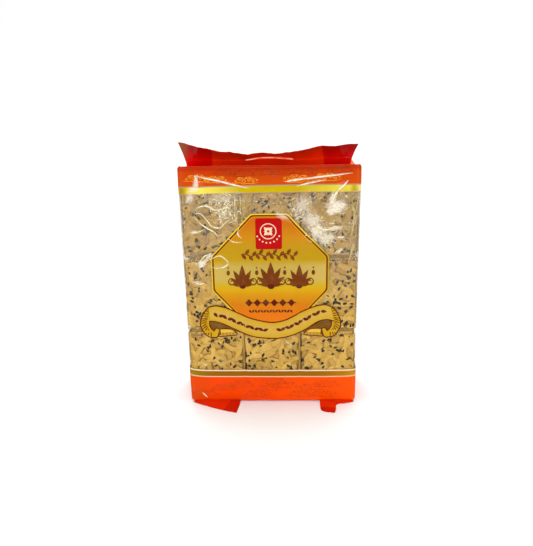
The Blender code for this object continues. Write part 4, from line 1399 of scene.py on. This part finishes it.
# Groups of one ink: their size, line width and lift above the film, then where each is and which way it faces
CLOUDS = (
    (CLOUD_GOLD, 0.85, 0.45, 0.10, ((-61, 208.4, 1),)),
    (CLOUD_GOLD, 0.80, 0.45, 0.10, ((-42, 207.4, -1), (-21, 206.4, 1))),
    (CLOUD_GOLD, 0.90, 0.45, 0.10, ((25, 207.4, -1), (45, 208.4, 1))),
    (CLOUD_RED, 0.85, 0.42, 0.08, (
        (-36, 214, 1), (-20, 212.5, -1), (-6, 213.5, 1), (12, 213.5, -1), (27, 214, 1), (60, 214.5, -1),
    )),
    (CLOUD_ORANGE, 0.95, 0.50, 0.08, (
        (-46, 15, 1), (-26, 18, -1), (-6, 14, 1), (14, 17, -1), (34, 15, 1), (52, 18, -1), (-16, 8, 1),
        (4, 21, -1), (24, 8, 1), (-60, 9, -1), (44, 8, 1),
    )),
)  # fmt: skip

art = new_print()
for ink, size, width, lift, places in CLOUDS:
    for x, z, side in places:
        for across_group, up, radius, start, turns in SCROLL_GROUP:
            line = scroll(0, 0, radius * size, start, turns) + (across_group * size, up * size)
            ink_line(art, line * (side, 1) + (x, z), width, lift, ink, 0.4)
        for tail in SCROLL_TAILS:
            ink_line(art, smooth_path(tail) * (side * size, size) + (x, z), width, lift, ink, 0.7)
art = piece("band_print", art, inks, smooth=False, outwards=True)
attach(art, "root")


# The folded base. The tube's lower end is welded flat and turned forwards under the block, and its corners stick
# out in front as dog-ears: a wide one with a saw-cut edge at the left and a doubled tab at the right.
BASE_SEAL = ((-67.7, 2.5), (-67.7, -23.5), (67.7, -23.5), (67.7, 2.5))
LEFT_EAR = (
    (-72.8, -27.1), (-67.0, -30.4), (-61.9, -33.0), (-52.2, -38.0), (-42.0, -42.2), (-32.2, -45.8),
    (-29.9, -30.0),
)  # fmt: skip
RIGHT_EAR = (
    (43.1, -30.1), (43.6, -40.5), (47.8, -44.2), (51.5, -44.8), (56.0, -44.7), (58.2, -32.0), (66.0, -29.3),
    (74.0, -26.5),
)  # fmt: skip
DOUBLED_TAB = (
    (43.4, -33.5), (43.9, -40.0), (47.9, -43.6), (51.5, -44.2), (55.5, -44.1), (57.0, -35.8), (50.0, -35.2),
)  # fmt: skip
LEFT_ROOT, RIGHT_ROOT = (-29.9, -70.9), (70.9, 43.1)
BASE_CRIMP_PITCH = 1.1
EAR_ROOT, EAR_CURL, EAR_REST, EAR_STEP = -15.0, 1.7, 0.15, 1.6
SAW_PITCH, SAW_DEPTH = 1.5, 0.45


def ear_place(rim):
    """Where an ear's flat points lie: down on the table at its root and rim, curled up a little between."""
    rim_x, rim_y = np.array(sorted(rim)).T

    def place(points, height):
        x, y = np.array(points).T
        share = np.clip((EAR_ROOT - y) / (EAR_ROOT - np.interp(x, rim_x, rim_y)), 0, 1)
        ripple = 0.25 * rough(x * 0.16, y * 0.16, 5.0)
        z = EAR_REST + EAR_CURL * np.sin(np.pi * share) ** 2 * (1 + ripple) + height
        return np.stack([x, y, z], axis=1) / 1000

    return place


def base_material():
    """Doubled orange-red print, deeper where more layers lie on each other, with the weld's fine ribs."""
    graph, place = new_material("folded_base_film")
    x, y, _ = millimetres(graph, place)
    ink = graph.mix(graph.noise(place, 90.0, 2.0), colour(226, 46, 4), colour(206, 38, 4))
    tab = (y + 36.0 + (x - 43.0) * 0.28).blend(0.5, -0.5)
    deep = band(x - y * 0.45, -26.0, -8.0, 0.5) + band(x + y * 0.25, 30.0, 45.8, 0.4) * tab
    ink = graph.mix(deep * 0.7, ink, colour(186, 22, 4))
    ribs = (y * 6.28 / BASE_CRIMP_PITCH).maths("SINE") * (y + 24.0).blend(0.0, 1.0)
    return graph.surface(printed_film(graph, place, ink, ribs=ribs, rib_strength=0.12))


def on_table(points, height):
    """Places this many millimetres above the table."""
    return np.c_[np.array(points), np.full(len(points), height)] / 1000


base_film = base_material()
base_seal = bmesh.new()
plate(base_seal, BASE_SEAL, on_table, 0.05, 0.65, 6.0)
base_seal = piece("base_seal", base_seal, base_film, smooth=False)
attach(base_seal, "root")

ears = bmesh.new()
saw_edge = smooth_path(LEFT_EAR[:-1], SAW_PITCH / 2)
saw_edge[1:-1:2] += (0.0, SAW_DEPTH)
left_rim = np.vstack([saw_edge, smooth_path(LEFT_EAR[-2:])[1:]])
right_rim = smooth_path(RIGHT_EAR, 1.0)
for rim, root, ear in ((left_rim, LEFT_ROOT, LEFT_EAR), (right_rim, RIGHT_ROOT, RIGHT_EAR)):
    outline = np.vstack([rim, smooth_path([(x, EAR_ROOT) for x in root], 2.0)])
    plate(ears, outline, ear_place(ear), 0.0, 0.35, EAR_STEP)
plate(ears, closed(DOUBLED_TAB, 1.0)[:-1], ear_place(RIGHT_EAR), 0.30, 0.75, EAR_STEP)
ears = piece("dog_ears", ears, base_film, smooth=False, outwards=True)
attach(ears, "root")


# The creases' glints. Where the slack film has folded on itself, thin ridges carry a painted highlight, cream
# strokes for the light its creases catch, in long loops above the upper bricks and in many short crinkles between
# them.
CRINKLES = (
    # How many, the middle of the group, its half width and half height, how long each is, in millimetres, the way
    # that they run, in degrees, with how far they stray from it, and how bright their painted highlight is
    (60, (-38, 178), (10, 10), 6.0, 0, 180, 1.4),
    (22, (-50, 190), (10, 5), 4.0, 20, 60, 1.2),
    (20, (-34, 192), (9, 4), 5.0, 0, 180, 1.2),
    (58, (66.5, 177), (7, 17), 10.0, 98, 20, 0.62),
    (16, (68, 156), (4, 14), 9.0, 90, 20, 0.62),
    (34, (46, 165), (17, 9), 7.0, -30, 40, 0.9),
    (30, (28, 182), (14, 9), 5.0, 50, 50, 0.9),
    (10, (-60, 138), (6, 5), 5.0, 0, 180, 0.9),
    (10, (66, 146), (6, 8), 6.0, 70, 40, 0.7),
    (14, (-54, 40), (15, 3), 4.0, 0, 40, 0.9),
    (16, (0, 190), (20, 5), 4.0, 0, 180, 0.9),
)
CRINKLE_EDGE = 73.0
CREASE_UNDER, CREASE_RIDGE = 0.05, 0.25
# A long crease is wider than its fold in the film by a factor and a margin, and its painted highlight is brighter
# the higher the fold is
FOLD_WIDER, FOLD_MARGIN, FOLD_GLINT_GAIN, FOLD_GLINT_BASE = 1.2, 0.8, 2.4, 0.1
FOLD_TAPER, CRINKLE_TAPER = 0.8, 0.9


def crease(bm, points, width, white, taper):
    """A sharp fold: a ridge with a painted highlight, whitest along its middle."""
    clear, full = (0, 0, 0, 1), (white, white, white, 1)
    corners = ((-1, 0.0, clear), (0, -CREASE_UNDER, full), (1, 0.0, clear), (0, CREASE_RIDGE, full))
    run_along(bm, points, width, corners, taper)


def crease_glint_material():
    """A painted highlight along a crease: cream, partly clear and glossy, more golden at the pack's right edge.
    """
    graph, place = new_material("painted_crease_glints")
    x, _, z = graph.split(place)
    # Painted highlight: cream tones stand in for the light the creases catch, paler near the top band and golden
    # at the right edge.
    patchy = graph.noise(place, 260.0, 2.0).blend(0.30, 0.62)
    tone = graph.mix(patchy, colour(242, 226, 150), colour(255, 247, 206))
    tone = graph.mix(x.blend(0.054, 0.062) * 0.7, tone, colour(206, 170, 96))
    tone = graph.mix(z.blend(0.198, 0.204), tone, colour(255, 240, 216))
    white = graph.add("ShaderNodeBsdfPrincipled", {"Base Color": tone, "Roughness": 0.18})
    through = graph.add("ShaderNodeBsdfTransparent", {"Color": (1, 1, 1, 1)})
    fold = (graph.attribute("ink") * (patchy * 0.5 + 0.65)).least(0.95)
    return graph.surface(graph.mixed(fold, through, white))


creases = new_print()
for height, width, *path in CREASES:
    width, white = width * FOLD_WIDER + FOLD_MARGIN, FOLD_GLINT_BASE + FOLD_GLINT_GAIN * height
    crease(creases, smooth_path(path), width, white, FOLD_TAPER)
chance = np.random.default_rng(41)
for count, middle, half, length, way, stray, white in CRINKLES:
    for _ in range(count):
        turn, bend = math.radians(way + stray * chance.uniform(-1, 1)), chance.uniform(-0.6, 0.6)
        start = np.array(middle) + chance.uniform(-1, 1, 2) * half
        reach = length * chance.uniform(0.4, 1.0)
        angle = turn + bend * np.arange(round(reach) + 1) / 1.5
        line = start + np.cumsum(np.stack([np.cos(angle), np.sin(angle)], axis=1), axis=0)
        line = line[abs(line[:, 0]) < CRINKLE_EDGE]
        if len(line) > 2:
            crease(creases, line, chance.uniform(0.5, 1.2), white, CRINKLE_TAPER)
creases = piece("film_crease_glints", creases, crease_glint_material(), smooth=False, outwards=True)
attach(creases, "root")


# The back seam. The film's two long edges are lapped, welded inside to inside into a fin, and laid flat down the
# middle of the back.
BACK_SEAM = np.array([(-5.0, 10.0), (7.0, 10.0), (7.0, 203.0), (-5.0, 203.0)])
BACK_SEAM_STEP = 1.5


def on_back(points, height):
    """Places on the back panel, this many millimetres above the film, with the seam's slight wave."""
    x, z = np.array(points).T / 1000
    wave = 0.15 * rough(x * 160, z * 60, 6.0)
    return np.stack([x, back_y(x, z) + (height + (height > 0) * wave) / 1000, z], axis=1)


outline = []
for a, b in zip(BACK_SEAM, np.roll(BACK_SEAM, -1, axis=0)):
    shares = np.linspace(0, 1, round(np.hypot(*(b - a)) / BACK_SEAM_STEP), endpoint=False)
    outline.append(a + shares[:, None] * (b - a))
seam = bmesh.new()
plate(seam, np.vstack(outline), on_back, -0.15, 0.60, BACK_SEAM_STEP)
seam = piece("back_seam", seam, bag_film, smooth=False, outwards=True)
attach(seam, "root")


# The camera, the floor and the lights: a plain white sweep under soft studio light, with a wide window light in
# front and a panel above that the creases of the film pick up.
CAMERA_PLACE = Vector((0.0141, -0.5721, 0.3242))
CAMERA_YAW, CAMERA_PITCH, CAMERA_ROLL = (math.radians(a) for a in (-1.86, 19.92, -1.08))
CAMERA_LENS, SENSOR_HEIGHT = 44.65, 36.0
SWEEP_FRONT, SWEEP_FOOT, SWEEP_RADIUS, SWEEP_TOP, SWEEP_HALF_WIDTH = -3.0, 1.2, 1.2, 4.0, 4.0

level = Vector((math.cos(CAMERA_YAW), -math.sin(CAMERA_YAW), 0.0))
ahead = Vector((math.sin(CAMERA_YAW), math.cos(CAMERA_YAW), 0.0)) * math.cos(CAMERA_PITCH)
ahead.z = -math.sin(CAMERA_PITCH)
upright = level.cross(ahead)
right = level * math.cos(CAMERA_ROLL) + upright * math.sin(CAMERA_ROLL)
above = upright * math.cos(CAMERA_ROLL) - level * math.sin(CAMERA_ROLL)
camera = bpy.data.objects.new("camera", bpy.data.cameras.new("camera"))
camera.matrix_world = Matrix.Translation(CAMERA_PLACE) @ Matrix((right, above, -ahead)).transposed().to_4x4()
camera.data.sensor_fit = "VERTICAL"
camera.data.sensor_height = SENSOR_HEIGHT
camera.data.lens = CAMERA_LENS
camera.data.clip_start = 0.01
bpy.context.scene.collection.objects.link(camera)
bpy.context.scene.camera = camera


def floor_material():
    """Matt white paper with a faint grain."""
    graph, place = new_material("white_paper")
    paper = graph.mix(graph.noise(place, 900.0, 3.0), (0.90, 0.90, 0.90, 1), (0.93, 0.93, 0.93, 1))
    inputs = {"Base Color": paper, "Roughness": 0.9, "Specular IOR Level": 0.1}
    return graph.surface(graph.add("ShaderNodeBsdfPrincipled", inputs))


sweep = bmesh.new()
profile = [(SWEEP_FRONT, 0.0), (SWEEP_FOOT, 0.0)]
for turn in np.linspace(0.1, math.pi / 2, 12):
    profile.append((SWEEP_FOOT + SWEEP_RADIUS * math.sin(turn), SWEEP_RADIUS * (1 - math.cos(turn))))
profile.append((SWEEP_FOOT + SWEEP_RADIUS, SWEEP_TOP))
lines = [[sweep.verts.new((x, y, z)) for x in (-SWEEP_HALF_WIDTH, SWEEP_HALF_WIDTH)] for y, z in profile]
for (a, b), (c, d) in zip(lines, lines[1:]):
    sweep.faces.new((a, b, d, c))
sweep = piece("paper_sweep", sweep, floor_material())

for name, place, target, size, power, spread in (
    ("front_window", (0.0, -1.50, 0.80), (0.0, 0.0, 0.14), (1.50, 0.80), 3.2, 70),
    ("top_panel", (0.0, 0.10, 0.80), (0.0, 0.05, 0.0), (0.6, 0.5), 6.6, 180),
    ("sweep_light", (0.0, 0.9, 1.6), (0.0, 2.2, 0.6), (2.4, 0.5), 30.0, 180),
):
    lamp = bpy.data.lights.new(name, "AREA")
    lamp.shape = "RECTANGLE"
    lamp.size, lamp.size_y = size
    lamp.energy = power
    lamp.spread = math.radians(spread)
    lamp = bpy.data.objects.new(name, lamp)
    towards = (Vector(target) - Vector(place)).to_track_quat("-Z", "Y")
    lamp.matrix_world = Matrix.Translation(place) @ towards.to_matrix().to_4x4()
    bpy.context.scene.collection.objects.link(lamp)

world = bpy.data.worlds.new("studio")
bpy.context.scene.world = world
world.use_nodes = True
backdrop = world.node_tree.nodes["Background"]
backdrop.inputs["Color"].default_value = (1.0, 1.0, 1.0, 1.0)
backdrop.inputs["Strength"].default_value = 0.34
bpy.context.scene.view_settings.view_transform = "Standard"
